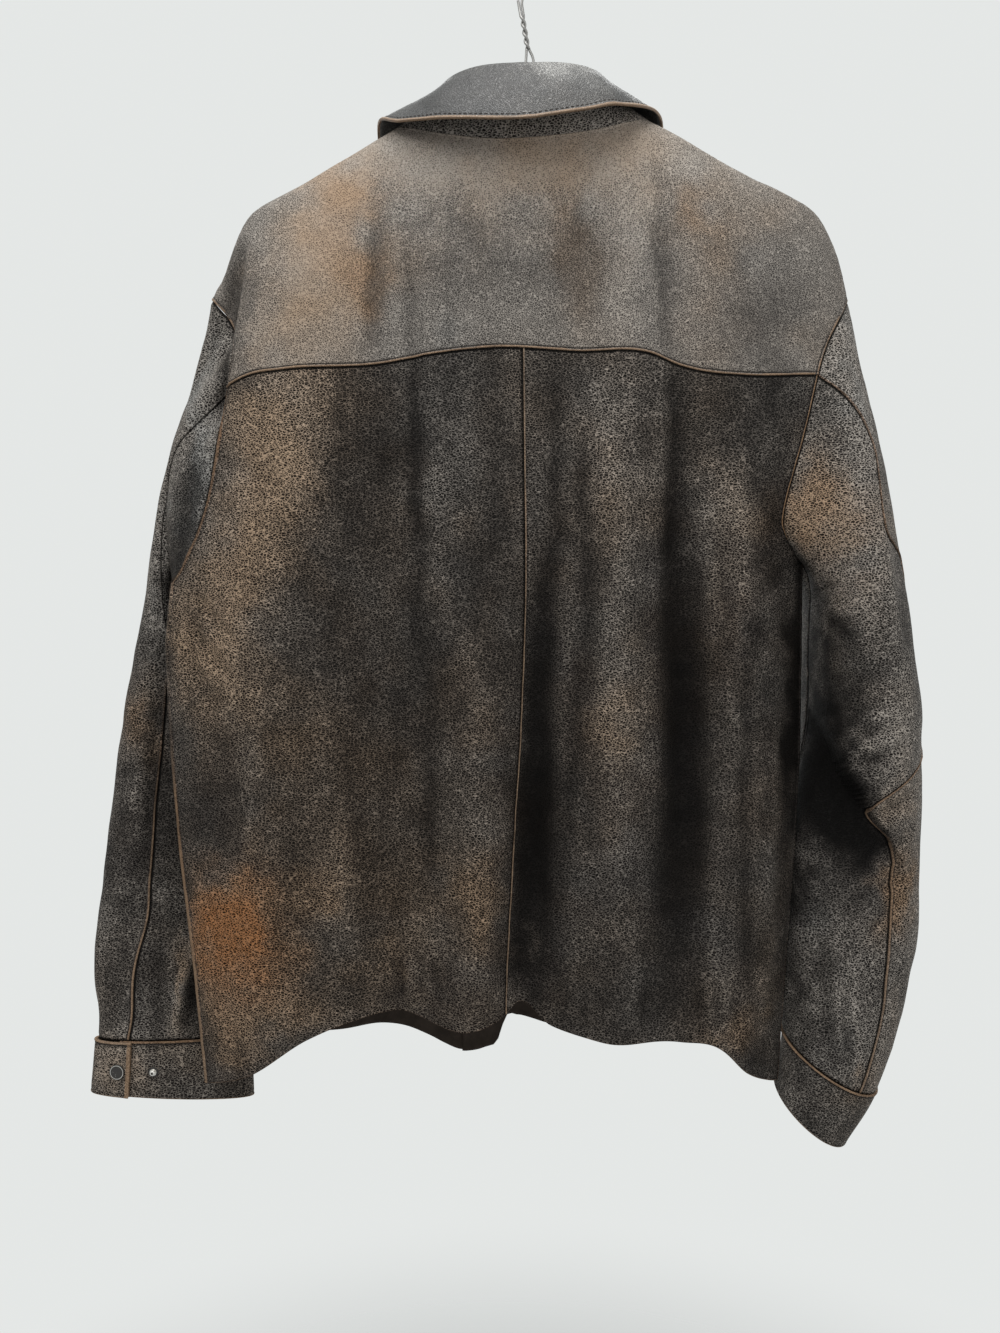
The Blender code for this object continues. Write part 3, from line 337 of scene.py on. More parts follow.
def shoulder_fold(x, z):
    """Beside the left armhole the panel folds back sharply, and the strip outside the fold lies deeper."""
    (top_x, top_z), (low_x, low_z) = SHOULDER_FOLD
    along = (top_z - z) / (top_z - low_z)
    line = top_x + (low_x - top_x) * along
    fade = smooth(along / 0.5) * smooth((1.25 - along) / 0.25)
    fade = fade * smooth((crest(x) - z) / 45)
    return SHOULDER_FOLD_DEPTH * fade * smooth((line - x) / 8 + 0.5)


def front_y(x, z):
    drop = np.maximum(crest(x) - z, 0)
    swell = FRONT_DEPTH * np.sqrt(drop / (drop + CREST_SPREAD))
    edge = edge_backset(x, drop, z)
    factor = side_factor(x, z, 1.4 * SIDE_ROLL, 1.0)
    return -edge + (swell + edge) * factor + fold_relief(FRONT_FOLDS, x, z) * factor


def on_body(x, m):
    """A body point from x and m, whose square is the drop below the shoulder line. The front has m < 0."""
    z = crest(x) - m * m
    return np.stack([x, np.where(m < 0, front_y(x, z), back_y(x, z)), z], axis=-1)


def between(top, bottom, left):
    """Shares across and down a grid, and its points on straight lines from its first row to its last."""
    u = np.linspace(0, 1, len(top))[None, :, None]
    v = np.linspace(0, 1, len(left))[:, None, None]
    return u, v, (1 - v) * top[None] + v * bottom[None]


def patch(top, bottom, left, right):
    """A grid between four edges, each an array of points (a Coons patch)."""
    u, v, across = between(top, bottom, left)
    upper, lower = (1 - u) * (1 - v) * top[0] + u * (1 - v) * top[-1], (1 - u) * v * bottom[0]
    corners = upper + lower + u * v * bottom[-1]
    down = (1 - u) * left[:, None] + u * right[:, None]
    return across + down - corners


def edged(top, bottom, left, right):
    """A grid between two rows, whose outer columns follow two edges and whose middle ignores them."""
    u, _, across = between(top, bottom, left)
    at_left = (left[:, None] - across[:, :1]) * (1 - u) ** 4
    at_right = (right[:, None] - across[:, -1:]) * u ** 4
    return across + at_left + at_right


def resample(points, count):
    """The same run of points, evenly spaced along it."""
    steps = np.linalg.norm(np.diff(points, axis=0), axis=1)
    length = np.concatenate([[0], np.cumsum(steps)])
    at = length[-1] * np.linspace(0, 1, count)
    return np.stack([np.interp(at, length, points[:, k]) for k in range(points.shape[1])], axis=1)


# --------------------------------------------------------------------------- making walls
def inset(grid, gaps):
    """Moves a grid's first and last rows and its first and last columns inwards by the gaps."""
    moved = grid.copy()
    normals = normals_of(grid)
    for axis, (first, last) in enumerate((gaps[:2], gaps[2:])):
        rows = grid if axis == 0 else grid.swapaxes(0, 1)
        facing = normals if axis == 0 else normals.swapaxes(0, 1)
        result = moved if axis == 0 else moved.swapaxes(0, 1)
        for edge, inner, gap in ((0, 1, first), (-1, -2, last)):
            way = unit(np.cross(facing[edge], np.gradient(rows[edge], axis=0)))
            result[edge] += gap * way * np.sign(np.sum(way * (rows[inner] - rows[edge])))
    return moved


def normals_of(grid):
    return unit(np.cross(np.gradient(grid, axis=0), np.gradient(grid, axis=1)))


def edge_indices(rows, cols):
    """The numbers of a grid's points round its edge."""
    index = np.arange(rows * cols).reshape(rows, cols)
    return np.concatenate([index[0, :], index[1:, -1], index[-1, -2::-1], index[-2:0:-1, 0]])


def shared_normals(grids, reach=1.0):
    """Along sewn edges panels share their normals, so that their walls meet face to face."""
    normals = {name: normals_of(grid).reshape(-1, 3) for name, grid in grids.items()}
    rims = {name: edge_indices(*grid.shape[:2]) for name, grid in grids.items()}
    points = {name: grid.reshape(-1, 3)[rims[name]] for name, grid in grids.items()}
    before = {name: normals[name][rims[name]].copy() for name in grids}
    for name in grids:
        total = before[name].copy()
        for other in grids:
            if other == name:
                continue
            apart = np.linalg.norm(points[name][:, None] - points[other][None], axis=-1)
            nearest = apart.argmin(axis=1)
            weight = np.where(apart.min(axis=1) < reach, 1.0, 0.0)
            total += weight[:, None] * before[other][nearest]
        normals[name][rims[name]] = unit(total)
    return normals


# --------------------------------------------------------------------------- the body
def armhole_xz(turn, side):
    column = 1 if side == "left" else 3
    folded = 0.5 - np.abs(np.asarray(turn, float) - 0.5)
    return [read(ARMHOLE, folded, column + k) for k in (0, 1)]


def armhole(turn, side):
    turn = np.asarray(turn, float)
    x, z = armhole_xz(turn, side)
    return np.stack([x, np.where(turn > 0.5, front_y(x, z), back_y(x, z)), z], axis=-1)


def front_turn(side):
    """The turn at which the armhole meets the shoulder seam on the front."""
    turns = np.linspace(0.5, 0.62, 60)
    x, z = armhole_xz(turns, side)
    return float(np.interp(SHOULDER_SEAM_DROP, np.maximum.accumulate(crest(x) - z), turns))


def body_turns(side):
    """The armhole's turns at the rows of the yoke, the back and a front, which the sleeve's columns share."""
    first = front_turn(side)
    over, behind = np.linspace(first, 0.5, FRONT_ROWS + 1), np.linspace(0.5, YOKE_TURN, YOKE_ROWS + 1)
    return (
        np.concatenate([over, behind[1:]]),
        np.linspace(YOKE_TURN, 0, ARM_ROWS_BACK + 1),
        np.linspace(first, 1, ARM_ROWS_FRONT + 1),
    )


def outer_edge(side, turns, hem_z):
    """x, z down the armhole and then down the side seam to the hem."""
    x, z = armhole_xz(turns, side)
    low = np.linspace(z[-1], hem_z, SIDE_ROWS + 1)[1:]
    column = 1 if side == "left" else 2
    return np.stack([np.concatenate([x, side_line(low, column)]), np.concatenate([z, low])], axis=1)


def line_between(table, first, last, count):
    """x, z along a table of x and z, from one x to another."""
    x = np.linspace(first, last, count)
    return np.stack([x, read(table, x)], axis=1)


def down_line(table, top_z, low_z, count):
    """x, z along a table of z and x, from one height down to another."""
    z = np.linspace(top_z, low_z, count)
    return np.stack([read(table, z), z], axis=1)


def with_m(run):
    """x, z on the front turned into x, m."""
    return np.stack([run[:, 0], -np.sqrt(np.maximum(crest(run[:, 0]) - run[:, 1], 0))], axis=1)


def back_grid(side):
    """Half of the lower back, from the yoke seam to the hem."""
    seam_x, hem_x = read(CENTRE_BACK, CENTRE_TOP_Z), read(CENTRE_BACK, CENTRE_LOW_Z)
    corner = 0 if side == "left" else -1
    outer = outer_edge(side, body_turns(side)[1], BACK_HEM[corner, 1])
    middle = down_line(CENTRE_BACK, read(YOKE_SEAM, seam_x), read(BACK_HEM, hem_x), len(outer))
    top = line_between(YOKE_SEAM, YOKE_SEAM[corner, 0], seam_x, HALF_COLUMNS + 1)
    bottom = line_between(BACK_HEM, BACK_HEM[corner, 0], hem_x, HALF_COLUMNS + 1)
    flat = patch(top, bottom, outer, middle)
    if side == "right":
        flat = flat[:, ::-1]
    x, z = flat[..., 0], flat[..., 1]
    return np.stack([x, back_y(x, z), z], axis=-1)


def scaled_resample(points, count):
    """Evenly spaced in x and m, with m stretched so that both count alike."""
    stretch = np.array([1.0, 12.0])
    return resample(np.asarray(points, float) * stretch, count) / stretch


def shoulder_run(side):
    """x, m along the shoulder seam, from the armhole to the neck."""
    first = armhole_xz(front_turn(side), side)[0]
    x = np.linspace(first, NECK_POINTS[side], SHOULDER_COLUMNS + 1)
    return np.stack([x, np.full(len(x), -math.sqrt(SHOULDER_SEAM_DROP))], axis=1)


def yoke_grid():
    """The yoke, from the front shoulder seams over the shoulder line to the yoke seam, made in x and m."""
    seam_x = read(CENTRE_BACK, CENTRE_TOP_Z)
    left_run, right_run = shoulder_run("left"), shoulder_run("right")
    neck_x = np.linspace(NECK[0, 0], NECK[-1, 0], NECK_SAMPLES)
    neck_m = np.sqrt(np.maximum(crest(neck_x) - read(NECK, neck_x), 0))
    neck = [left_run[-1], (left_run[-1][0] + 3, 0)]
    neck += list(zip(neck_x, neck_m))
    neck += [(right_run[-1][0] - 3, 0), right_run[-1]]
    neck = scaled_resample(neck, 2 * HALF_COLUMNS - 2 * SHOULDER_COLUMNS + 1)
    top = np.concatenate([left_run, neck[1:-1], right_run[::-1]])
    left = line_between(YOKE_SEAM, YOKE_SEAM[0, 0], seam_x, HALF_COLUMNS + 1)
    right = line_between(YOKE_SEAM, seam_x, YOKE_SEAM[-1, 0], HALF_COLUMNS + 1)
    seam = np.concatenate([left, right[1:]])
    bottom = with_m(seam) * np.array([1, -1])
    share = FRONT_ROWS / (FRONT_ROWS + YOKE_ROWS)
    ridge = top + (bottom - top) * share
    ridge[:, 1] = np.maximum(ridge[:, 1], 0)
    left, right = side_m("left"), side_m("right")
    before = edged(top, ridge, left[:FRONT_ROWS + 1], right[:FRONT_ROWS + 1])
    behind = edged(ridge, bottom, left[FRONT_ROWS:], right[FRONT_ROWS:])
    flat = np.concatenate([before, behind[1:]])
    return on_body(flat[..., 0], flat[..., 1])


def side_m(side):
    """x, m down the yoke's armhole edge, from the front shoulder seam over the shoulder to the yoke seam."""
    turns = body_turns(side)[0]
    x, z = armhole_xz(turns, side)
    m = np.sqrt(np.maximum(crest(x) - z, 0)) * np.where(turns > 0.5, -1, 1)
    return np.stack([x, m], axis=1)


def front_grid(side):
    """A front, from the shoulder and neck seams to the hem, made in x and m."""
    corner = 0 if side == "left" else -1
    reach = PLACKET_LAP / 2 if side == "left" else -PLACKET_LAP / 2
    neck_x = CENTRE_FRONT[-1, 1] + reach
    low_x = CENTRE_FRONT[0, 1] + reach
    hem_corner = FRONT_HEM[corner]
    shoulder = shoulder_run(side)
    neck_xz = line_between(FRONT_NECK, FRONT_NECK[corner, 0], neck_x, 40)
    end_z = neck_xz[-1, 1]
    neck = scaled_resample(np.concatenate([shoulder[-1:], with_m(neck_xz)]), NECK_COLUMNS + 1)
    top = np.concatenate([shoulder, neck[1:]])
    outer = with_m(outer_edge(side, body_turns(side)[2], hem_corner[1]))
    hem = line_between(FRONT_HEM, hem_corner[0], low_x, len(top))
    z = np.linspace(end_z, hem[-1, 1], len(outer))
    middle_x = read(CENTRE_FRONT, z) + reach
    middle_x += (neck_x - middle_x[0]) * np.linspace(1, 0, len(z)) ** 3
    flat = patch(top, with_m(hem), outer, with_m(np.stack([middle_x, z], axis=1)))
    grid = on_body(flat[..., 0], np.minimum(flat[..., 1], -0.01))
    if side == "left":
        reached = smooth((flat[..., 0] - (middle_x[:, None] - 2 * PLACKET_LAP)) / PLACKET_LAP)
        grid[..., 1] += LAP_LIFT * reached
        grid = grid[:, ::-1]
    return grid


# --------------------------------------------------------------------------- sleeves and cuffs
def sleeve_ring(table, along, turn):
    """Points of the sleeve's sections, before the armhole's own curve is added."""
    along, turn = np.broadcast_arrays(np.asarray(along, float), np.asarray(turn, float))
    values = [read(table, along, k) for k in range(1, 10)]
    inner, outer = np.stack(values[:3], axis=-1), np.stack(values[3:6], axis=-1)
    half, bow, lean = values[6][..., None], values[7][..., None], values[8]
    reach = (inner - outer) / 2
    way = unit(reach)
    back = np.stack([lean, -np.ones(lean.shape), np.zeros(lean.shape)], axis=-1)
    back = unit(back - way * np.sum(way * back, axis=-1, keepdims=True))
    angle = 2 * math.pi * turn[..., None]
    middle = (inner + outer) / 2
    swell = bow * np.sin(angle) ** 2 * np.array([1.0, 0.0, 0.0])
    return middle + reach * np.cos(angle) + half * back * np.sin(angle) + swell


def sleeve_points(side, along, turn):
    """Points on a sleeve, which starts exactly on its armhole."""
    table = LEFT_SLEEVE if side == "left" else RIGHT_SLEEVE
    along, turn = np.broadcast_arrays(np.asarray(along, float), np.asarray(turn, float))
    around = np.mod(turn, 1.0)
    fix = armhole(around, side) - sleeve_ring(table, 0.0, around)
    fade = 1 - smooth(along / SLEEVE_BLEND)
    return sleeve_ring(table, along, around) + fix * fade[..., None]


def sleeve_piece(side, which):
    """The top sleeve runs over the outer side, the under sleeve along the body."""
    along = (np.linspace(0, 1, SLEEVE_ROWS + 1) ** SLEEVE_CROWDING * CUFF_START)[:, None]
    seam = read(SLEEVE_SEAMS, along, 1 if side == "left" else 2)
    yoke_turns, back_turns, front_turns = body_turns(side)
    if which == "top":
        turns = np.concatenate([yoke_turns[::-1], front_turns[1:]])
        turn = seam + (1 - seam) * (turns - turns[0]) / (turns[-1] - turns[0])
    else:
        turn = seam * back_turns[::-1] / back_turns[0]
    grid = inset(sleeve_points(side, along, turn), (ARMHOLE_GAP, CUFF_GAP / 2, SEAM_GAP / 2, SEAM_GAP / 2))
    grid[0, 0 if which == "under" else -1, 0] += UNDERARM_OUT * (-1 if side == "left" else 1)
    return grid[:, ::-1] if side == "left" else grid


def cuff_grid(side, rows, cols):
    """The cuff goes round from its under end, along the body and the outer side, to the flap's end."""
    under_end, flap_end = CUFF_ENDS[side]
    along = np.linspace(CUFF_START, 1, rows)[:, None]
    turn = np.linspace(under_end, flap_end - 1, cols)[None, :]
    grid = sleeve_points(side, along, turn)
    around = sleeve_points(side, along, turn - 0.004) - sleeve_points(side, along, turn + 0.004)
    down = np.gradient(grid, axis=0)
    outwards = unit(np.cross(down, around) if side == "left" else np.cross(around, down))
    over, ease = FLAP_LIFTED
    lift = LAP_LIFT * smooth((flap_end - 1 + over - turn) / ease)
    grid = grid + outwards * lift[..., None]
    return grid if side == "left" else grid[:, ::-1]


def neck_line():
    """The neck edge from the collar's left end to its right end: its turns and its points."""
    left = front_grid("left")[0, :NECK_COLUMNS + 1]
    back = yoke_grid()[0, SHOULDER_COLUMNS:-SHOULDER_COLUMNS]
    right = front_grid("right")[0, SHOULDER_COLUMNS:][::-1]
    left = shortened(left, COLLAR[0, 1])
    right = shortened(right, COLLAR[-1, 1])[::-1]
    points = np.concatenate([left[:-1], back, right[1:]])
    low, high = len(left) - 1, len(left) - 1 + len(back)
    table = COLLAR[:, :2]
    turns = np.concatenate([
        np.interp(points[:low, 0], table[3::-1, 1], table[3::-1, 0]),
        np.interp(points[low:high, 0], table[3:10, 1], table[3:10, 0]),
        np.interp(points[high:, 0], table[:8:-1, 1], table[:8:-1, 0]),
    ])
    # Beside the shoulder seams several points would share one turn, so those are spread along the seam.
    run = np.concatenate([[0], np.cumsum(np.linalg.norm(np.diff(points, axis=0), axis=1))])
    sure = np.abs(np.abs(turns) - COLLAR[9, 0]) > 0.004
    return np.interp(run, run[sure], turns[sure]), points


def shortened(points, x):
    """A run of points from its start's side, cut at x, where it gets a new first point."""
    away = np.sign(points[-1, 0] - points[0, 0])
    k = int(np.argmax((points[:, 0] - x) * away > 0.5))
    share = (x - points[k - 1, 0]) / (points[k, 0] - points[k - 1, 0])
    first = points[k - 1] + (points[k] - points[k - 1]) * share
    return np.concatenate([[first], points[k:]])


def collar_profile(place):
    """Points across the collar: place 0 on the neck seam, 1 on the fold, 2 on the leaf's edge."""
    turn, seam = neck_line()
    fold, edge = (np.stack([read(COLLAR, turn, k + axis) for axis in range(3)], axis=-1) for k in (2, 5))
    out = unit((edge - fold) * np.array([1, 1, 0]))
    drop = np.array([0, 0, -ROLL])
    inner, outer = fold - ROLL * out + drop, fold + ROLL * out + drop
    stops = [
        (0.0, seam),
        (0.45, (seam + inner) / 2 + out),
        (0.85, inner),
        (1.0, fold),
        (1.15, outer),
        (1.55, (outer + edge) / 2 + 2.5 * out),
        (2.0, edge),
    ]
    knots = np.array([stop[0] for stop in stops])
    values = np.stack([stop[1] for stop in stops])
    flat = values.reshape(len(knots), -1)
    made = np.stack([through(place, knots, flat[:, k]) for k in range(flat.shape[1])], axis=-1)
    return made.reshape(len(place), *values.shape[1:])


def collar_grid(first, last, rows):
    return collar_profile(np.linspace(first, last, rows))


def rounded(points, passes=3):
    """Cuts the corners of a run of points, again and again."""
    for _ in range(passes):
        near = points[:-1] * 0.75 + points[1:] * 0.25
        far = points[:-1] * 0.25 + points[1:] * 0.75
        middle = np.stack([near, far], axis=1).reshape(-1, 3)
        points = np.concatenate([points[:1], middle, points[-1:]])
    return points


def hanger_arm(apex, end, way):
    """From the neck's foot out to a shoulder's end and round to the bar. The way is 1 to the right."""
    drop = np.array([0, 0, -ARM_SAG])
    low = end[2] - BAR_DROP
    return [
        apex + (end - apex) * 0.07 + drop,
        apex + (end - apex) * 0.13 + drop * 0.8,
        apex + (end - apex) * 0.25,
        end + (apex - end) * 0.05,
        end + (way * CORNER, 0, -4),
        (end[0] + way * CORNER, 0, low + 5),
        (end[0] - 2 * way * CORNER, 0, low),
    ]


def hanger_path():
    """One wire: hook, a strand of the twist, right arm, bar, left arm, and the twist's other strand."""
    centre_z = -(HOOK_RADIUS - WIRE / 2)
    angles = (math.radians(degrees) for degrees in range(200, -61, -10))
    hook = np.array([(HOOK_RADIUS * math.cos(a), 0, centre_z + HOOK_RADIUS * math.sin(a)) for a in angles])
    low, top = (np.array([x, 0, z]) for x, z in TWIST)
    lean = (top - low) / np.linalg.norm(top - low)
    side = np.cross((0.0, 1.0, 0.0), lean)
    turn = np.linspace(0, 1, TWIST_TURNS * 12 + 1)[:, None]
    angle = 2 * math.pi * TWIST_TURNS * turn
    out = WIRE * 0.56 * (side * np.cos(angle) + np.array([0, 1, 0]) * np.sin(angle))
    middle = top + (low - top) * turn
    apex, left, right = (np.array([x, 0, z]) for x, z in (APEX, LEFT_END, RIGHT_END))
    right_side, left_side = (
        [middle[-1] + way * out[-1], *((x, 0, z) for x, z in wire), *hanger_arm(apex, end, way)]
        for way, wire, end in zip((1, -1), NECK_WIRES, (right, left))
    )
    body = rounded(np.array([tuple(p) for p in right_side + left_side[::-1]]))
    first, end = middle[0] + out[0], middle[0] - out[0]
    neck = rounded(np.concatenate([hook[-4:], [first + lean * 11, first + lean * 3, first]]), 2)
    strand, other = middle + out, (middle - out)[::-1]
    return np.concatenate([hook[:-4], neck[:-1], strand[:-1], body, other[1:], [end + lean * 12.5]])


def on_cuff(side, along, turn, height):
    """A place on the cuff's outer face and the way that it faces."""
    here = sleeve_points(side, along, turn)
    around = sleeve_points(side, along, turn + 0.01) - here
    down = sleeve_points(side, along + 0.003, turn) - here
    facing = unit(np.cross(around, down) if side == "left" else np.cross(down, around))
    return here + facing * height, facing


# --------------------------------------------------------------------------- creases, finish and painted light and shade
def filled_up(rest, rows):
    """Rows of eight numbers. A row that leaves out its last ones has those of the rest."""
    return np.array([row + rest[len(row) + len(rest) - 8:] for row in rows], float)


# Creases lie on the back (face 1) if nothing else is said.
BODY_CREASES = filled_up((1,), (
    # from x, z, to x, z, half width, height, bow, face (-1 the front)
    (-100, -176, -108, -338, 7, -2.6, 3), (-112, -176, -122, -338, 9, 2, 3),
    (-20, -190, -24, -330, 12, -1.6, 4), (50, -190, 58, -330, 14, -1.8, -4),
    (180, -215, 186, -345, 16, -1.8, 5), (-170, -215, -176, -345, 14, 2, -5),
    (-60, -380, -52, -600, 15, 3.4, 5), (-150, -560, -148, -850, 16, 3, -6),
    (166, -380, 186, -640, 9, -2.4, 5), (184, -420, 176, -700, 9, 2.6, -4),
    (168, -640, 170, -900, 10, 2.6, 4), (212, -520, 205, -900, 8, 2.8, -4),
    (-262, -524, -218, -572, 5, -3.2, 3), (-268, -540, -224, -600, 5, -3.4, 4),
    (-266, -566, -232, -628, 6, -3, 4), (-255, -640, -200, -668, 9, -1.6, 5),
    (-240, -420, -190, -452, 9, -1.6, -5), (226, -470, 190, -500, 7, -1.8, 4),
    (228, -500, 196, -540, 6, -1.8, -4), (-91, -822, -90, -866, 3.5, -2.6, 1),
    (-76, -818, -75, -868, 3.5, -2.8, -1), (-62, -826, -60, -868, 3.5, -2.4, 1),
    (-83, -826, -83, -868, 3.5, 2, 0), (6, -806, 7, -846, 3, -1.2, 0), (152, -838, 155, -890, 4, -2.6, 1),
    (165, -842, 169, -894, 4, -2.6, -1), (181, -848, 185, -894, 4, -2.4, 1),
    (160, -842, 162, -892, 3.5, 1.2, 0), (-172, -848, -171, -884, 4, -2.2, 1),
    (-136, -838, -134, -872, 4, -2.2, -1), (60, -850, 61, -890, 4, -2, 1), (105, -846, 106, -890, 4, -2, 0),
    (-120, -190, -150, -330, 16, -2.4, 6, -1), (118, -190, 150, -330, 15, -2.4, -6, -1),
    (-90, -360, -100, -640, 10, 3.2, 5, -1), (90, -380, 96, -660, 12, 3.2, -5, -1),
    (-200, -500, -215, -860, 12, -3, 5, -1), (200, -520, 205, -880, 12, -3, -5, -1),
    (-40, -600, -46, -900, 9, -2.6, 3, -1), (40, -560, 44, -890, 9, -2.6, -4, -1),
    (-258, -530, -212, -580, 6, -2.2, 4, -1), (236, -520, 196, -575, 6, -2.4, -4, -1),
    (-150, -700, -148, -900, 10, 2.6, 4, -1), (150, -720, 146, -905, 11, 2.4, -4, -1),
))
LEFT_CREASES = filled_up((1,), (
    # from x, z, to x, z, half width, height, bow, face
    (-262, -360, -300, -560, 9, 2.6, 4), (-246, -380, -282, -560, 7, -3, 4),
    (-310, -560, -330, -760, 10, 2.4, -4), (-296, -580, -312, -820, 8, -2.6, 5),
    (-268, -700, -268, -812, 7, 3.2, 4), (-266, -804, -291, -916, 3.4, 5.4, 2),
    (-257, -812, -279, -914, 4.5, -4.4, 2), (-300, -800, -303, -905, 6, -2.2, 2),
    (-250, -800, -246, -905, 6, -2.4, -3), (-283, -818, -270, -826, 2.5, -1.6, 1),
    (-340, -640, -300, -660, 5, -1.6, 3), (-342, -690, -300, -676, 5, -1.6, -3),
    (-345, -720, -305, -725, 4, -1.3, 3), (-352, -800, -320, -790, 5, -1.3, 3),
    (-270, -340, -320, -620, 12, -3, 5, -1), (-300, -620, -250, -660, 6, -2.6, 4, -1),
    (-330, -660, -262, -690, 6, -2.4, -4, -1), (-320, -720, -250, -730, 7, -2.2, 4, -1),
    (-300, -760, -290, -900, 8, -2.6, 4, -1), (-330, -780, -320, -905, 7, 2.2, 4, -1),
))
RIGHT_CREASES = filled_up((1,), (
    # from x, z, to x, z, half width, height, bow, face
    (264, -330, 300, -560, 10, 2.2, -5), (286, -420, 320, -600, 9, -2.2, -4),
    (241, -534, 262, -520, 3.2, -2.4, 2), (246, -544, 285, -540, 6, 1.6, 2),
    (262, -600, 300, -590, 5, -1.5, 2), (262, -628, 316, -612, 4.5, -1.8, 3),
    (270, -646, 322, -632, 4, -2, 3), (278, -667, 314, -652, 2.6, -2.6, 2), (274, -656, 312, -643, 4, 1.6, 2),
    (288, -712, 330, -690, 3.6, -2.6, 3), (296, -724, 332, -706, 4, 2.2, 3),
    (300, -740, 334, -722, 3.4, -2.6, 3), (306, -756, 336, -742, 4, 1.8, 2),
    (302, -775, 334, -764, 4, -1.8, 2), (272, -842, 273, -925, 3.6, 2.6, 1),
    (264, -820, 266, -915, 5, -3.2, 2), (281, -840, 282, -930, 4.5, -2.6, 1),
    (250, -700, 246, -890, 10, 3, 4), (290, -790, 284, -900, 7, 1.8, 2),
    (268, -350, 306, -600, 12, -2.6, 5, -1), (250, -640, 330, -655, 6, -2.6, 4, -1),
    (252, -676, 336, -690, 6, -2.6, -4, -1), (250, -715, 338, -716, 7, -2.2, 4, -1),
    (270, -750, 262, -900, 9, -2.8, 4, -1), (310, -770, 292, -920, 8, 2.4, 4, -1),
))
COLLAR_CREASES = filled_up((1,), (
    # from x, z, to x, z, half width, height, bow, face
    (15, -112, 15, -176, 2.2, -1.3, 0), (8, -112, 9, -172, 3.4, 1.1, 0), (24, -118, 26, -166, 5, 0.7, 0),
    (-40, -120, -62, -168, 9, 1.2, 2), (60, -118, 74, -160, 9, 1.2, -2), (-74, -140, -60, -160, 5, -0.8, 1),
    (92, -130, 84, -152, 5, -0.8, 1),
))
# The back's long folds, from the top down: z, x, half width to the left and to the right, tone (painted shade
# in a trough, painted light on a ridge), height
FOLD_BANDS = (
    ((-176, 112, 3, 11, -0.1, -1.6), (-260, 116, 3, 12, -0.12, -2.4), (-338, 121, 3, 12, -0.14, -2.6)),
    ((-176, -112, 3, 12, -0.1, -1.6), (-260, -114, 3, 12, -0.12, -2.2), (-338, -118, 4, 12, -0.1, -2.2)),
    ((-200, -88, 4, 6, -0.06, -1), (-300, -84, 5, 7, -0.09, -1.8), (-339, -80, 6, 7, -0.1, -1.5),
     (-400, -78, 6, 7, -0.14, -2.5), (-457, -77, 6, 8, -0.18, -3), (-500, -74, 6, 8, -0.16, -3),
     (-536, -76, 10, 8, -0.1, -2.5), (-617, -66, 8, 8, -0.08, -2), (-700, -64, 7, 7, -0.08, -2),
     (-760, -66, 7, 7, -0.04, -1)),
    ((-350, 34, 6, 8, -0.04, -1), (-417, 35, 5, 7, -0.1, -2.5), (-470, 33, 6, 8, -0.12, -3),
     (-536, 26, 9, 12, -0.22, -4), (-617, 20, 10, 16, -0.27, -5), (-698, 17, 12, 20, -0.29, -6),
     (-779, 16, 13, 24, -0.28, -6), (-840, 12, 12, 20, -0.2, -4), (-868, 10, 10, 16, -0.1, -2)),
    ((-400, 56, 6, 6, -0.05, -1), (-460, 58, 7, 7, -0.1, -1.5), (-536, 60, 8, 8, -0.12, -1.5),
     (-617, 52, 8, 10, -0.1, -1), (-700, 46, 5, 5, -0.08, -1), (-760, 44, 5, 5, 0, 0)),
    ((-345, 128, 4, 8, -0.12, -2), (-378, 130, 5, 9, -0.16, -3), (-457, 131, 8, 14, -0.2, -5),
     (-497, 131, 10, 16, -0.2, -6), (-536, 132, 12, 18, -0.22, -7), (-617, 137, 16, 20, -0.29, -8),
     (-698, 140, 18, 22, -0.3, -8), (-760, 134, 20, 22, -0.26, -7), (-820, 128, 24, 24, -0.18, -4),
     (-870, 124, 20, 24, -0.08, -2)),
    ((-540, 188, 6, 6, -0.08, -2), (-617, 186, 6, 6, -0.12, -2.5), (-700, 187, 6, 6, -0.12, -2.5),
     (-790, 191, 6, 6, -0.1, -2), (-860, 192, 6, 6, -0.04, -1)),
    ((-350, 88, 22, 18, 0.06, 2), (-457, 88, 22, 18, 0.07, 3), (-536, 92, 20, 16, 0.07, 4),
     (-617, 88, 20, 20, 0.08, 4), (-698, 84, 24, 22, 0.05, 3), (-779, 80, 26, 24, 0.03, 3),
     (-850, 80, 26, 26, 0, 1)),
    ((-560, -34, 14, 14, 0.03, 2), (-617, -30, 14, 14, 0.07, 3), (-657, -30, 14, 14, 0.07, 3),
     (-738, -26, 16, 14, 0.08, 3), (-779, -22, 16, 12, 0.12, 3), (-820, -24, 16, 12, 0.08, 2),
     (-860, -24, 14, 12, 0.02, 1)),
)
# The right elbow's fold: above this line the sleeve hangs over its lower part, which lies deeper.
ELBOW_FOLD = np.array([
    # x, z, depth below the line
    (226, -586, 16), (238, -600, 22), (246, -611, 24), (253, -624, 24), (262, -645, 22), (269, -664, 18),
    (276, -684, 12), (290, -705, 10), (304, -722, 8), (320, -746, 5), (330, -760, 0),
], float)
ELBOW_REACH = 62.0        # below the line, where the sleeve has come back out
SHOULDER_STEP = ((-212, -230), (-233, -366), (-240, -398))  # x, z of the left shoulder fold's crisp line
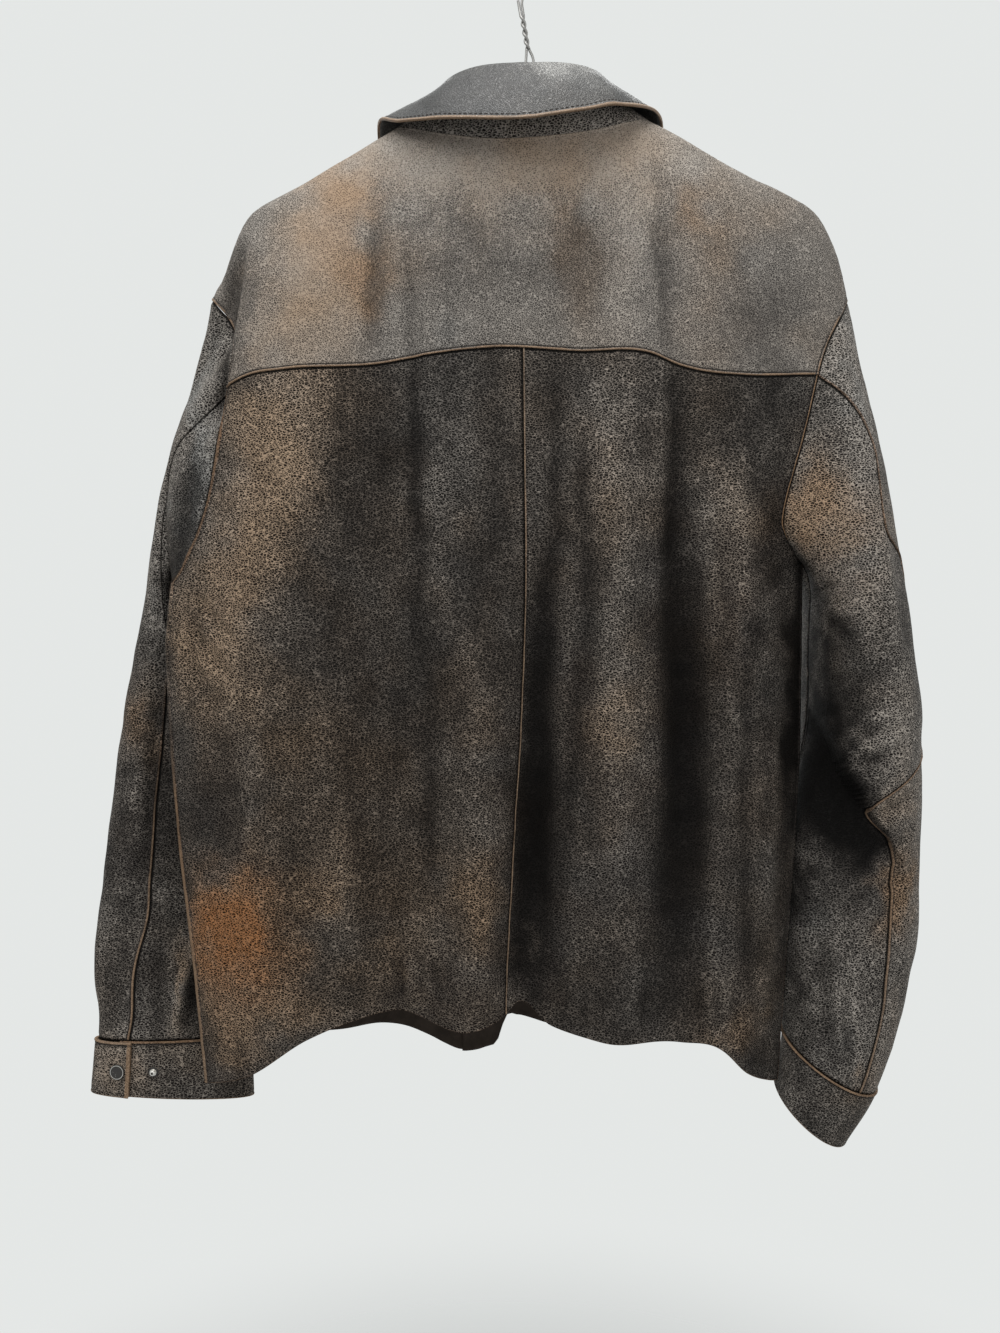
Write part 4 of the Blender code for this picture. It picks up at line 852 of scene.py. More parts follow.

# Patches of the finish, without amber and on the back if nothing else is said. Face is 1 for the back, -1 for
# the front, 0 for both and 2 for the back and the sides. Most light and warm patches are rubbed wear and
# stains; the ones marked below are painted light and shade.
BODY_PATCHES = filled_up((0, 1), (
    # x, z, half width, half height, tone, warmth, amber, face
    # Painted light: the broad light band along the yoke's top, and the light patch under the collar, partly
    # tan wear and partly painted light against the collar's shadow.
    (0, -160, 240, 62, 0.16, 0.1), (0, -176, 104, 34, 0.55, 0.3), (-150, -237, 34, 66, 0.3, 0.4, 0.08),
    (-176, -300, 44, 54, 0.12, 0.4), (-130, -205, 24, 30, 0.1, 0.45, 0.08),
    # Painted shade and light: the narrow dark strip and the light strip on the yoke's soft folds.
    (-120, -286, 16, 26, 0.02, 0.5, 0.16), (-48, -270, 13, 86, -0.08, -0.2), (10, -278, 30, 30, -0.05, -0.2),
    (46, -236, 17, 76, -0.07, 0.3, 0.03), (88, -240, 15, 90, 0.12, 0.1), (170, -240, 40, 50, 0.02, 0.2),
    # Painted shade: the dark strip beside the left shoulder's fold.
    (150, -226, 16, 20, 0.02, 0.5, 0.08), (206, -310, 32, 60, -0.1, -0.25), (-222, -310, 12, 60, -0.12, -0.1),
    (-186, -395, 46, 44, 0.25, 0.4), (-219, -490, 36, 66, 0.26, 0.45, 0.04), (-238, -575, 30, 50, 0.26, 0.45),
    (-180, -470, 30, 50, 0.12, 0.45), (-114, -435, 22, 84, -0.05, 0.05), (-122, -405, 24, 45, -0.05, 0.05),
    (-126, -600, 44, 150, -0.05, 0.15), (-190, -640, 46, 50, 0.05, 0.3), (-246, -680, 26, 50, -0.03, 0.1),
    (-178, -756, 36, 50, 0.05, 0.4), (-50, -420, 26, 90, 0.03, -0.35), (-12, -440, 12, 90, -0.06, -0.1),
    (-66, -620, 20, 90, -0.02, 0), (82, -632, 18, 30, 0.08, 0.2), (68, -680, 20, 50, 0.01, 0.2),
    (72, -410, 30, 60, 0.07, 0.1), (170, -458, 30, 42, 0.2, 0.3), (196, -400, 14, 70, -0.06, 0),
    # Painted shade: the dark strips along the right side, in the gap between the body and the sleeve.
    (170, -570, 16, 60, -0.01, 0.2), (210, -640, 9, 190, -0.12, 0), (238, -630, 11, 110, -0.36, 0, 0, 2),
    (224, -760, 8, 160, -0.06, 0), (-238, -812, 36, 40, 0.46, 0.85, 1), (-216, -786, 30, 32, 0.17, 0.7, 0.6),
    (-196, -834, 30, 30, 0.07, 0.6, 0.35), (-236, -886, 24, 30, 0.18, 0.6, 0.1),
    (-158, -772, 16, 18, 0.08, 0.5, 0.05), (-30, -782, 18, 34, 0.06, 0.6, 0.06),
    (-98, -830, 15, 14, 0.08, 0.35), (6, -817, 10, 9, 0.1, 0.2), (-118, -700, 50, 60, 0, 0.15),
    (-190, -872, 44, 24, 0.15, 0.45), (-36, -600, 34, 100, -0.04, 0.12), (-96, -780, 40, 40, 0.05, 0.3),
    (-90, -864, 70, 12, 0.02, 0.1), (60, -876, 50, 14, -0.02, 0.1), (188, -888, 20, 16, 0.08, 0.5, 0.05),
    (-120, -250, 46, 80, 0.14, 0.4, 0.05, -1), (126, -260, 44, 70, 0.14, 0.3, 0, -1),
    (-60, -520, 30, 120, -0.12, 0, 0, -1), (120, -560, 34, 130, -0.14, -0.1, 0, -1),
    (-180, -620, 40, 90, 0.12, 0.4, 0.05, -1), (40, -760, 30, 110, 0.1, 0.35, 0.05, -1),
    (190, -840, 34, 44, 0.16, 0.6, 0.35, -1), (-100, -850, 50, 50, 0.08, 0.3, 0.1, -1),
))
# The left sleeve: the light cool patches on its upper part are painted sheen, and the dark ones along the
# body, under the arm and in the forearm's crease are painted shade.
LEFT_PATCHES = filled_up((0, 1), (
    # x, z, half width, half height, tone, warmth, amber, face
    (-250, -371, 18, 70, 0.42, -0.5), (-300, -500, 16, 90, 0.2, -0.4, 0, 0), (-262, -450, 12, 90, -0.1, -0.3),
    (-312, -633, 18, 34, 0.06, 0.55, 0.08, 0), (-282, -528, 10, 44, -0.36, 0),
    (-282, -650, 20, 110, -0.14, 0), (-328, -780, 22, 80, -0.1, 0.1, 0, 0), (-290, -790, 20, 60, 0.03, 0.2),
    (-286, -862, 6, 40, 0.16, 0.5), (-268, -860, 5, 46, -0.2, 0), (-252, -850, 10, 60, -0.12, 0),
    (-342, -925, 24, 26, 0.26, 0.2, 0, 0), (-262, -930, 20, 20, 0.06, 0.4, 0, 0),
))
# The right sleeve: the light cool patch on its top is a painted highlight, and the dark ones in the elbow's
# pocket, below the elbow's fold and along the body are painted shade.
RIGHT_PATCHES = filled_up((0, 1), (
    # x, z, half width, half height, tone, warmth, amber, face
    (270, -325, 18, 80, 0.2, -0.5), (241, -462, 15, 28, 0.2, 0.6, 0.1), (260, -486, 28, 46, 0.26, 0.6, 0.06),
    (290, -560, 24, 50, 0, 0.15, 0, 0), (306, -652, 26, 34, 0.3, 0.25, 0, 0), (250, -645, 24, 58, -0.4, 0),
    (243, -640, 12, 120, -0.38, 0, 0, 2), (272, -700, 20, 42, -0.3, 0), (292, -736, 16, 22, -0.24, 0),
    (255, -780, 16, 70, -0.1, -0.1), (318, -782, 15, 32, 0.16, 0.8, 0.18),
    (322, -690, 14, 36, 0.08, 0.3, 0, 0), (240, -760, 9, 200, -0.18, 0), (264, -840, 16, 70, 0.02, -0.2),
    (283, -884, 5, 56, 0.16, 0.1), (284, -934, 16, 11, 0.14, 0.5), (310, -880, 12, 50, 0.06, 0.2, 0, 0),
))
# The collar: the light cool patch in its middle is a painted highlight, and the thin light and dark strips
# are painted light and shade of its crease.
COLLAR_PATCHES = filled_up((0, 1), (
    # x, z, half width, half height, tone, warmth, amber, face
    (36, -112, 24, 22, 0.36, -0.3), (8, -118, 3, 40, 0.1, -0.2), (16, -122, 2, 30, -0.16, 0),
    (47, -90, 18, 5, 0.05, 0.8, 0.3), (-20, -92, 26, 5, 0.02, 0.6, 0.2), (118, -136, 26, 30, -0.1, -0.2),
    (-66, -128, 50, 40, -0.16, 0),
))
PATCH_UNEVEN = 14.0       # how far the patches' edges wander
CREASE_SHADING = 0.024       # painted light on a crease's ridge and painted shade in its trough, for each millimetre of its height
ELBOW_SHADE = 0.0175       # painted shade: how much darker for each millimetre of depth below the elbow's fold
STEP_SHADE = 0.16          # painted shade: how much darker the finish is in the shoulder's fold
STEP_DEPTH = 6.0          # of the shoulder's fold, beside its crisp line
RELIEFS = {
    # start of a panel's name: its creases and its patches
    "sleeve_left": (LEFT_CREASES, LEFT_PATCHES),
    "cuff_left": (LEFT_CREASES, LEFT_PATCHES),
    "sleeve_right": (RIGHT_CREASES, RIGHT_PATCHES),
    "cuff_right": (RIGHT_CREASES, RIGHT_PATCHES),
    "collar": (COLLAR_CREASES, COLLAR_PATCHES),
    "": (BODY_CREASES, BODY_PATCHES),
}

EDGE_STYLES = {
    # how an edge is sewn: lift, width of its rubbed line, rubbing, depth of the stitched groove and darkness
    # of the shade painted in it
    "over": (0.75, 1.0, 1.0, 0.9),
    "thin": (0.4, 0.8, 0.95, 0.5),
    "under": (-0.45, 0.0, 0.0, 0.9),
    "free": (0.25, 0.8, 0.7, 0.35),
    "rolled": (0.9, 1.7, 1.0, 0.5),
    "side": (0.75, 3.4, 1.0, 0.6),
    "tucked": (-0.3, 0.0, 0.0, 0.35),
    "flap": (0.4, 3.2, 0.95, 0.3),
    "plain": (0.0, 0.0, 0.0, 0.0),
}
PANELS = {
    # panel: leather, what it rests on, tone, warmth, (how its first row, last row, first column and last
    # column are sewn)
    "yoke": ("yoke", "hanger", 0.65, 0.16, ("thin", "over", "over", "over")),
    "back_left": ("coat", "coat_yoke", 0.34, 0.36, ("under", "free", "side", "under")),
    "back_right": ("coat", "coat_yoke", 0.35, 0.30, ("under", "free", "thin", "over")),
    "front_left": ("coat", "coat_yoke", 0.36, 0.20, ("under", "free", "flap", "under")),
    "front_right": ("coat", "coat_yoke", 0.36, 0.18, ("under", "free", "under", "free")),
    "collar_stand": ("coat", "coat_yoke", 0.58, 0.15, ("thin", "plain", "free", "free")),
    "collar_leaf": ("collar", "coat_collar_stand", 0.41, -0.40, ("plain", "rolled", "free", "free")),
    "sleeve_left_top": ("coat", "coat_yoke", 0.42, 0.18, ("under", "tucked", "under", "over")),
    "sleeve_left_under": ("coat", "coat_yoke", 0.40, 0.10, ("under", "tucked", "under", "under")),
    "sleeve_right_top": ("coat", "coat_yoke", 0.50, 0.18, ("under", "tucked", "over", "under")),
    "sleeve_right_under": ("coat", "coat_yoke", 0.44, 0.08, ("under", "tucked", "under", "under")),
    "cuff_left": ("coat", "coat_sleeve_left_top", 0.43, 0.30, ("over", "free", "free", "flap")),
    "cuff_right": ("coat", "coat_sleeve_right_top", 0.42, 0.30, ("over", "free", "flap", "free")),
}
EDGE_WEAR = {
    # panel, edge: along it (0 to 1), how much of its rubbed line is there, and how orange that line is
    ("yoke", 0): ((0, 0.3, 0), (1, 0.3, 0)),
    ("yoke", 2): ((0, 1, 0.3), (0.36, 1, 0.3), (0.46, 0.2, 0.2), (1, 0.1, 0)),
    ("yoke", 3): ((0, 0.7, 0.2), (1, 0.8, 0.5)),
    ("back_left", 2): ((0, 0.45, 0.6), (0.27, 0.4, 0.5), (0.32, 0.1, 0), (0.5, 0.2, 0.2), (0.6, 0.8, 0.6),
                       (1, 1, 0.3)),
    ("back_right", 3): ((0, 0.9, 0.6), (0.26, 1, 0.9), (0.3, 0.1, 0), (0.75, 0.1, 0), (1, 0.5, 0.4)),
    ("back_right", 2): ((0, 0.7, 0.1), (0.3, 0.9, 0.3), (1, 1, 0.3)),
    ("back_left", 1): ((0, 0.7, 0.4), (0.4, 0.35, 0.3), (1, 0.35, 0.3)),
    ("back_right", 1): ((0, 0.35, 0.3), (0.6, 0.4, 0.3), (1, 0.7, 0.4)),
    ("sleeve_left_top", 3): ((0, 0, 0), (0.45, 0.05, 0.2), (0.62, 0.4, 0.4), (0.8, 0.7, 0.4), (1, 1, 0.4)),
    ("sleeve_right_top", 2): ((0, 0.3, 0.4), (0.5, 0.35, 0.5), (0.75, 0.6, 0.4), (1, 0.7, 0.2)),
    ("cuff_left", 0): ((0, 0.5, 0.6), (0.3, 0.8, 0.6), (0.5, 0.4, 0.5), (0.8, 0.8, 0.5), (1, 1, 0.2)),
    ("cuff_right", 0): ((0, 0.8, 0.6), (0.4, 0.7, 0.5), (0.6, 0.9, 0.5), (1, 0.6, 0.4)),
    ("cuff_right", 2): ((0, 0.3, 0.4), (1, 0.3, 0.4)),
}
NEAR_EDGE = (0.12, 0.3, 0.42, 0.5, 0.64, 0.85)  # extra divisions between an edge and the next row
OVERCAST = ("back_left", 3)  # the centre-back seam, whose stitches lie across it
STITCH_RUNS = (
    # panel, edge (0 first row, 1 last row, 2 first column, 3 last column), distance from it
    ("yoke", 1, 2.9),
    ("yoke", 2, 2.9),
    ("yoke", 3, 2.9),
    ("back_left", 2, 5.4),
    ("back_left", 3, 1.6),
    ("back_right", 3, 2.9),
    ("sleeve_left_top", 3, 2.9),
    ("sleeve_right_top", 2, 2.9),
    ("cuff_left", 0, 3.0),
    ("cuff_right", 0, 3.0),
    ("front_left", 2, 6.0),
    ("front_left", 2, 27.0),
    ("collar_leaf", 1, 5.0),
)


def drift(points, size, seed=0):
    """Smooth unevenness between -1 and 1, in lumps of about the given size."""
    at = points / size + seed * 7.31
    cell = np.floor(at).astype(np.int64)
    part = at - cell
    part = part * part * (3 - 2 * part)
    total = np.zeros(points.shape[:-1])
    for corner in range(8):
        step = np.array([corner & 1, corner >> 1 & 1, corner >> 2])
        key = (cell + step) @ np.array([73856093, 19349663, 83492791]) & 0xFFFFFF
        key = (key ^ key >> 11) * 40503 + 12345 & 0xFFFFFF
        value = (key ^ key >> 9) % 65536 / 32767.5 - 1
        total += value * np.prod(np.where(step, part, 1 - part), axis=-1)
    return total


def refined(grid):
    """Adds rows and columns close to the edges, so that the sewn edges can be shaped."""
    for _ in range(2):
        count = len(grid)
        near = np.array(NEAR_EDGE)
        places = np.concatenate([[0], near, np.arange(1, count - 1), count - 1 - near[::-1], [count - 1]])
        low = np.minimum(places.astype(int), count - 2)
        share = (places - low)[:, None, None]
        grid = (grid[low] * (1 - share) + grid[low + 1] * share).swapaxes(0, 1)
    return grid


def edge_distances(grid):
    """Each point's distance to the first row, last row, first column and last column."""
    found = []
    for axis in (0, 1):
        steps = np.linalg.norm(np.diff(grid, axis=axis), axis=-1)
        zero = np.zeros_like(steps[:1]) if axis == 0 else np.zeros_like(steps[:, :1])
        run = np.cumsum(np.concatenate([zero, steps], axis=axis), axis=axis)
        total = run[-1:] if axis == 0 else run[:, -1:]
        found += [run, total - run]
    return found


def backwards(normals, sharpness=2.0):
    """1 where a surface faces back, -1 where it faces the front, and between these at the sides."""
    return np.clip(-normals[..., 1] * sharpness, -1, 1)


def crease_relief(table, points, normals):
    """The summed height of the creases at a panel's points, each on the face that it belongs to."""
    total = np.zeros(points.shape[:-1])
    facing = backwards(normals)
    for x1, z1, x2, z2, half, height, bow, face in table:
        way = np.array([x2 - x1, z2 - z1])
        length = np.hypot(*way)
        off = points[..., [0, 2]] - (x1, z1)
        along = off @ way / length ** 2
        beside = (off[..., 0] * way[1] - off[..., 1] * way[0]) / length
        beside = beside - bow * 4 * along * (1 - along)
        fade = smooth(along / 0.3 + 0.1) * smooth((1 - along) / 0.3 + 0.1)
        total += height * fade * np.exp(-(beside / half) ** 2) * np.clip(face * facing, 0, 1)
    return total


def band_shading(points, normals):
    """The painted shade and light that the back's long folds give, dark in their troughs and light on their
    ridges, and the height that they add.
    """
    tone, height = np.zeros(points.shape[:-1]), np.zeros(points.shape[:-1])
    x, z = points[..., 0] + 3.5 * drift(points, 40, 20) + 1.2 * drift(points, 14, 21), points[..., 2]
    for band in FOLD_BANDS:
        table = np.array(band, float)[::-1]
        centre, left, right, tones, heights = (np.interp(z, table[:, 0], column) for column in table[:, 1:].T)
        off = (x - centre) / np.where(x < centre, left, right)
        fade = smooth((table[-1, 0] + 10 - z) / 24) * smooth((z - table[0, 0] + 16) / 24)
        share = fade * np.exp(-off ** 2) * np.maximum(backwards(normals), 0)
        tone, height = tone + tones * share, height + heights * share
    return tone, height


def shoulder_step(points):
    """How deep the left side lies in its shoulder's fold, beside the crisp line."""
    (x1, z1), (x2, z2), (x3, z3) = SHOULDER_STEP
    x, z = points[..., 0], points[..., 2]
    beside = np.interp(z, (z3, z2, z1), (x3, x2, x1)) - x
    fade = smooth((z1 - z) / 50) * smooth((z - z3 + 14) / 30)
    return fade * smooth(beside / 3 + 0.5) * np.exp(-(np.maximum(beside - 4, 0) / 14) ** 2)


def elbow_recess(points, normals):
    """How much deeper the right sleeve lies below its elbow fold, on the back."""
    x, z = points[..., 0], points[..., 2]
    line, depth = (np.interp(x, ELBOW_FOLD[:, 0], ELBOW_FOLD[:, k]) for k in (1, 2))
    below = line - z
    fade = smooth(below / 4) * np.exp(-(np.maximum(below - 12, 0) / ELBOW_REACH) ** 2)
    return depth * fade * np.maximum(backwards(normals, 1.6), 0)


def edge_relief(name, distances, points):
    """The sewn edges' height, the mark they leave (above 0 rubbed, below 0 painted shade) and how orange it
    is.
    """
    height, mark, amber = (np.zeros(points.shape[:-1]) for _ in range(3))
    uneven = 0.74 + 0.24 * drift(points, 13, 3) + 0.2 * drift(points, 4, 4)
    for edge, (style, far) in enumerate(zip(PANELS[name][4], distances)):
        lift, width, rubbed, groove = EDGE_STYLES[style]
        start, end = distances[2:] if edge < 2 else distances[:2]
        run = start / np.maximum(start + end, 1)
        share, worn, orange = np.array(EDGE_WEAR.get((name, edge), ((0, 1, 0.4), (1, 1, 0.4))), float).T
        worn = np.interp(run, share, worn)
        groove = groove * (0.3 + 0.7 * worn)
        raised = smooth((width + 1.0 - far) / 0.9) if lift > 0 else smooth((3.0 - far) / 3.0)
        furrow = np.exp(-((far - width - 1.1) / 0.75) ** 2)
        height += lift * raised - 0.35 * groove * furrow - 0.25 * smooth((0.5 - far) / 0.5) * (lift > 0)
        bare = far < width + 0.25
        mark = np.where(bare, np.maximum(mark, rubbed * uneven * worn), mark)
        amber = np.where(bare, np.maximum(amber, np.interp(run, share, orange)), amber)
        # The mark's dark part is painted shade, in the stitched groove and on an under panel beside the
        # lapped edge.
        mark = mark - groove * furrow * (far > width + 0.2) - (lift < 0) * groove * smooth((1.4 - far) / 1.0)
    return height, np.clip(mark, -1, 1), amber


def pucker_relief(name, distances, points):
    """The gathering along sewn edges, and the leather's own unevenness."""
    sewn = np.minimum.reduce([far for style, far in zip(PANELS[name][4], distances) if style != "plain"])
    slack = np.clip(np.minimum.reduce(distances) / 30, 0, 1)
    gathers = 0.55 * np.exp(-sewn / 11) * drift(points, 7, 5) * smooth(sewn / 2 + 0.2)
    return gathers + (1.1 * drift(points, 42, 6) + 0.5 * drift(points, 17, 7)) * slack


def reliefs_of(name):
    """A panel's creases and patches."""
    return next(RELIEFS[start] for start in RELIEFS if name.startswith(start))


def finish_and_shade_at(name, points, normals, relief):
    """Tone, warmth and amber at a panel's points: the rubbed finish, with the painted light and shade of its
    creases and patches.
    """
    tone, warm, amber = (np.full(points.shape[:-1], value) for value in (*PANELS[name][2:4], 0.0))
    wander = np.stack([drift(points, 26, seed) + 0.6 * drift(points, 9, seed) for seed in (8, 9)], axis=-1)
    place = points[..., [0, 2]] + PATCH_UNEVEN * wander
    facing = backwards(normals)
    for x, z, half_x, half_z, tones, warms, ambers, face in reliefs_of(name)[1]:
        off = (place - (x, z)) / (half_x, half_z)
        share = np.exp(-np.sum(off ** 2, axis=-1))
        if face:
            share = share * np.clip(facing + 1 if face == 2 else face * facing, 0, 1)
        tone, warm, amber = tone + tones * share, warm + warms * share, amber + ambers * share
    streaks = drift(points * (1.0, 1.0, 0.22), 11, 14)
    # Painted light and shade of the creases: lighter on their ridges, darker in their troughs.
    tone = tone + np.clip(relief, -6, 6) * CREASE_SHADING
    uneven = 0.05 * drift(points, 34, 10) + 0.035 * drift(points, 12, 11) + 0.045 * streaks
    tone = tone + uneven * (0.6 if name == "yoke" else 1)
    warm = warm + 0.22 * drift(points, 48, 12) + 0.12 * drift(points, 19, 13)
    return np.clip(tone, 0.04, 1), np.clip(warm, -0.6, 1), np.clip(amber, 0, 1)


# --------------------------------------------------------------------------- panels as meshes
MADE = {}


def bare_panels():
    """Each panel's plain grid, before creases and sewn edges."""
    gap = SEAM_GAP / 2
    panels = {
        "yoke": inset(yoke_grid(), (gap, gap, gap, gap)),
        "back_left": inset(back_grid("left"), (gap, 0, gap, gap)),
        "back_right": inset(back_grid("right"), (gap, 0, gap, gap)),
        "front_left": inset(front_grid("left"), (gap, 0, 0, gap)),
        "front_right": inset(front_grid("right"), (gap, 0, 0, gap)),
        "collar_stand": inset(collar_grid(0, 0.85, STAND_ROWS), (-STAND_LAP, gap, 0, 0)),
        "collar_leaf": inset(collar_grid(0.85, 2, LEAF_ROWS), (gap, 0, 0, 0)),
    }
    for side in ("left", "right"):
        for which in ("top", "under"):
            panels[f"sleeve_{side}_{which}"] = sleeve_piece(side, which)
        panels["cuff_" + side] = inset(cuff_grid(side, *CUFF_DIVISIONS), (CUFF_GAP / 2, 0, 0, 0))
    return panels


def shaped_panels():
    """Each panel's finished points, the way that they face, and the finish there, with its painted light and
    shade.
    """
    if MADE:
        return MADE
    bare = {name: refined(grid) for name, grid in bare_panels().items()}
    flat_normals = shared_normals(bare)
    for name, grid in bare.items():
        normals = flat_normals[name].reshape(grid.shape)
        distances = edge_distances(grid)
        relief = np.zeros(grid.shape[:2])
        if not name.startswith("cuff") and name != "collar_stand":
            relief = crease_relief(reliefs_of(name)[0], grid, normals)
        fold_shading, fold_height, sunk = 0, 0, 0
        if name.startswith(("yoke", "back")):
            fold_shading, fold_height = band_shading(grid, normals)
        if name in ("yoke", "back_left") or name.startswith("sleeve_left"):
            # The shoulder's fold sinks beside its crisp line and gets painted shade there.
            sunk = shoulder_step(grid) * np.maximum(backwards(normals), 0)
        sewn, mark, orange = edge_relief(name, distances, grid)
        limp = 0.4 if name.startswith(("cuff", "collar")) else 1
        height = relief + sewn + pucker_relief(name, distances, grid) * limp
        points = grid + normals * (height + fold_height)[..., None]
        points[..., 1] += STEP_DEPTH * sunk
        tone, warm, amber = finish_and_shade_at(name, grid, normals, relief)
        if name.startswith("sleeve_right"):
            recess = elbow_recess(grid, normals)
            points[..., 1] += recess
            # Painted shade in the recess below the elbow's fold.
            tone = tone - recess * ELBOW_SHADE
        # Painted shade and light of the back's folds, and painted shade in the shoulder's fold.
        tone = np.clip(tone + fold_shading - STEP_SHADE * sunk, 0.03, 1)
        amber = np.where(mark > 0.05, orange, amber)
        finish = np.stack([tone, warm, amber, mark], axis=-1)
        MADE[name] = (points, normals, finish, grid)
    return MADE


def placed(name, data):
    """A new object in the scene."""
    made = bpy.data.objects.new(name, data)
    bpy.context.scene.collection.objects.link(made)
    return made


def panel_object(name, thick, outside, inside):
    """A panel as a closed wall, with a rounded rim where it is free."""
    points, normals, finish, _ = shaped_panels()[name]
    rows, cols = points.shape[:2]
    count = rows * cols
    flat, way = points.reshape(-1, 3), normals.reshape(-1, 3)
    rim = edge_indices(rows, cols)
    after = np.roll(np.arange(len(rim)), -1)
    along = np.roll(flat[rim], -1, axis=0) - np.roll(flat[rim], 1, axis=0)
    out = unit(np.cross(along, way[rim]))
    bulge = np.zeros(points.shape[:2])
    for edge, style in enumerate(PANELS[name][4]):
        if style in ("free", "rolled", "flap"):
            lines = bulge if edge < 2 else bulge.T
            lines[-(edge % 2)] = 0.3 * thick
    middle = flat[rim] + out * bulge.reshape(-1)[rim][:, None]
    places = np.concatenate([flat + way * thick / 2, flat - way * thick / 2, middle]) * MM
    index = np.arange(count).reshape(rows, cols)
    a, b, c, d = (part.ravel() for part in (index[:-1, :-1], index[:-1, 1:], index[1:, 1:], index[1:, :-1]))
    ring = np.arange(len(rim)) + 2 * count
    faces = np.concatenate([
        np.stack([a, d, c, b], axis=1),
        np.stack([a, b, c, d], axis=1) + count,
        np.stack([rim, rim[after], ring[after], ring], axis=1),
        np.stack([ring, ring[after], rim[after] + count, rim + count], axis=1),
    ])
    mesh = bpy.data.meshes.new("coat_" + name)
    mesh.from_pydata(places.tolist(), [], faces.tolist())
    for look in (outside, inside):
        mesh.materials.append(look)
    kind = np.zeros(len(faces), np.int32)
    kind[len(a):2 * len(a)] = 1
    mesh.polygons.foreach_set("material_index", kind)
    mesh.shade_smooth()
    # The finish attribute: the rubbed wear, the stains and the seam edges' marks, with the painted light and
    # shade.
    values = finish.reshape(-1, 4)
    values = np.concatenate([values, values, values[rim]]).astype(np.float32)
    attribute = mesh.attributes.new("finish", "FLOAT_COLOR", "POINT")
    attribute.data.foreach_set("color", values.ravel())
    mesh.update()
    return placed("coat_" + name, mesh)


def flat_size(name):
    """The panel's cut: its greatest width and length, and its area, in metres."""
    grid = shaped_panels()[name][3] * MM
    down, across = (np.linalg.norm(np.diff(grid, axis=k), axis=-1).sum(axis=k).max() for k in (0, 1))
    left_low, right_top = grid[1:, :-1], grid[:-1, 1:]
    first, second = (
        np.linalg.norm(np.cross(left_low - corner, right_top - corner), axis=-1)
        for corner in (grid[:-1, :-1], grid[1:, 1:])
    )
    area = float((first + second).sum() / 2)
    down = min(down, 2 * area / across)  # a collar's ends are much longer than its middle
    return (float(across), float(down)), min(area, float(across * down))


def sewn_panel(name, thick, outside, inside, slot, rests_on):
    made = panel_object(name, thick, outside, inside)
    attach(made, "root")
    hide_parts(name)
    flat, area = flat_size(name)
    return made


# --------------------------------------------------------------------------- stitches, snaps and wire
def run_beside(name, edge, far):
    """Points at a distance from a panel's edge, with the ways across the seam and outwards."""
    points, normals, _, _ = shaped_panels()[name]
    if edge > 1:
        points, normals = points.swapaxes(0, 1), normals.swapaxes(0, 1)
    if edge % 2:
        points, normals = points[::-1], normals[::-1]
    steps = np.linalg.norm(np.diff(points[:30], axis=0), axis=-1)
    run = np.concatenate([np.zeros_like(steps[:1]), np.cumsum(steps, axis=0)])
    low = np.clip((run < far).sum(axis=0) - 1, 0, len(run) - 2)
    column = np.arange(points.shape[1])
    share = ((far - run[low, column]) / (run[low + 1, column] - run[low, column]))[:, None]
    place = points[low, column] * (1 - share) + points[low + 1, column] * share
    across = points[low + 1, column] - points[low, column]
    return place, across, normals[low, column]


def stitch_paths(wall):
    """One mesh of open lines, with the lay and the facing of the stitches on each point."""
    places, lays, facings, edges = [], [], [], []
    for name, edge, far in STITCH_RUNS:
        place, across, facing = run_beside(name, edge, far)
        tangent = np.gradient(place, axis=0)
        thick = CUFF_WALL if name.startswith("cuff") else wall
        start = sum(map(len, places))
        edges += [(start + k, start + k + 1) for k in range(len(place) - 1)]
        places.append(place + facing * (thick / 2 + 0.05))
        lays.append(across if (name, edge) == OVERCAST else tangent)
        facings.append(facing)
    mesh = bpy.data.meshes.new("stitches")
    mesh.from_pydata((np.concatenate(places) * MM).tolist(), edges, [])
    for key, values in (("lay", lays), ("facing", facings)):
        values = unit(np.concatenate(values)).astype(np.float32)
        mesh.attributes.new(key, "FLOAT_VECTOR", "POINT").data.foreach_set("vector", values.ravel())
    return mesh


class Tree:
    """Adds nodes to a tree, with their inputs given as values or as other nodes' outputs."""

    def __init__(self, tree):
        self.tree = tree

    def feed(self, socket, value):
        if isinstance(value, bpy.types.NodeSocket):
            self.tree.links.new(value, socket)
        else:
            socket.default_value = value

    def add(self, kind, inputs=(), **settings):
        node = self.tree.nodes.new(kind)
        for key, value in settings.items():
            setattr(node, key, value)
        for key, value in dict(inputs).items():
            self.feed(node.inputs[key], value)
        return node

    def math(self, operation, first, second=0.0, third=0.0):
        inputs = {0: first, 1: second, 2: third}
        return self.add("ShaderNodeMath", inputs, operation=operation).outputs[0]

    def step(self, value, low, high, to_low=0.0, to_high=1.0):
        inputs = {"Value": value, "From Min": low, "From Max": high, "To Min": to_low, "To Max": to_high}
        return self.add("ShaderNodeMapRange", inputs, interpolation_type="SMOOTHSTEP").outputs[0]

    def blend(self, share, first, second, how="MIX"):
        """Mixes two colours."""
        inputs = {0: share, 6: first, 7: second}
        return self.add("ShaderNodeMix", inputs, data_type="RGBA", blend_type=how).outputs[2]

    def vector(self, operation, first, second=(0.0, 0.0, 0.0)):
        inputs = {0: first, "Scale" if operation == "SCALE" else 1: second}
        found = self.add("ShaderNodeVectorMath", inputs, operation=operation).outputs
        return found["Value" if operation == "LENGTH" else "Vector"]

    def noise(self, where, size, detail=2.0, roughness=0.5, output="Fac"):
        """Noise in lumps of about the given size in millimetres."""
        inputs = {"Vector": where, "Scale": 1000.0 / size, "Detail": detail, "Roughness": roughness}
        return self.add("ShaderNodeTexNoise", inputs).outputs[output]


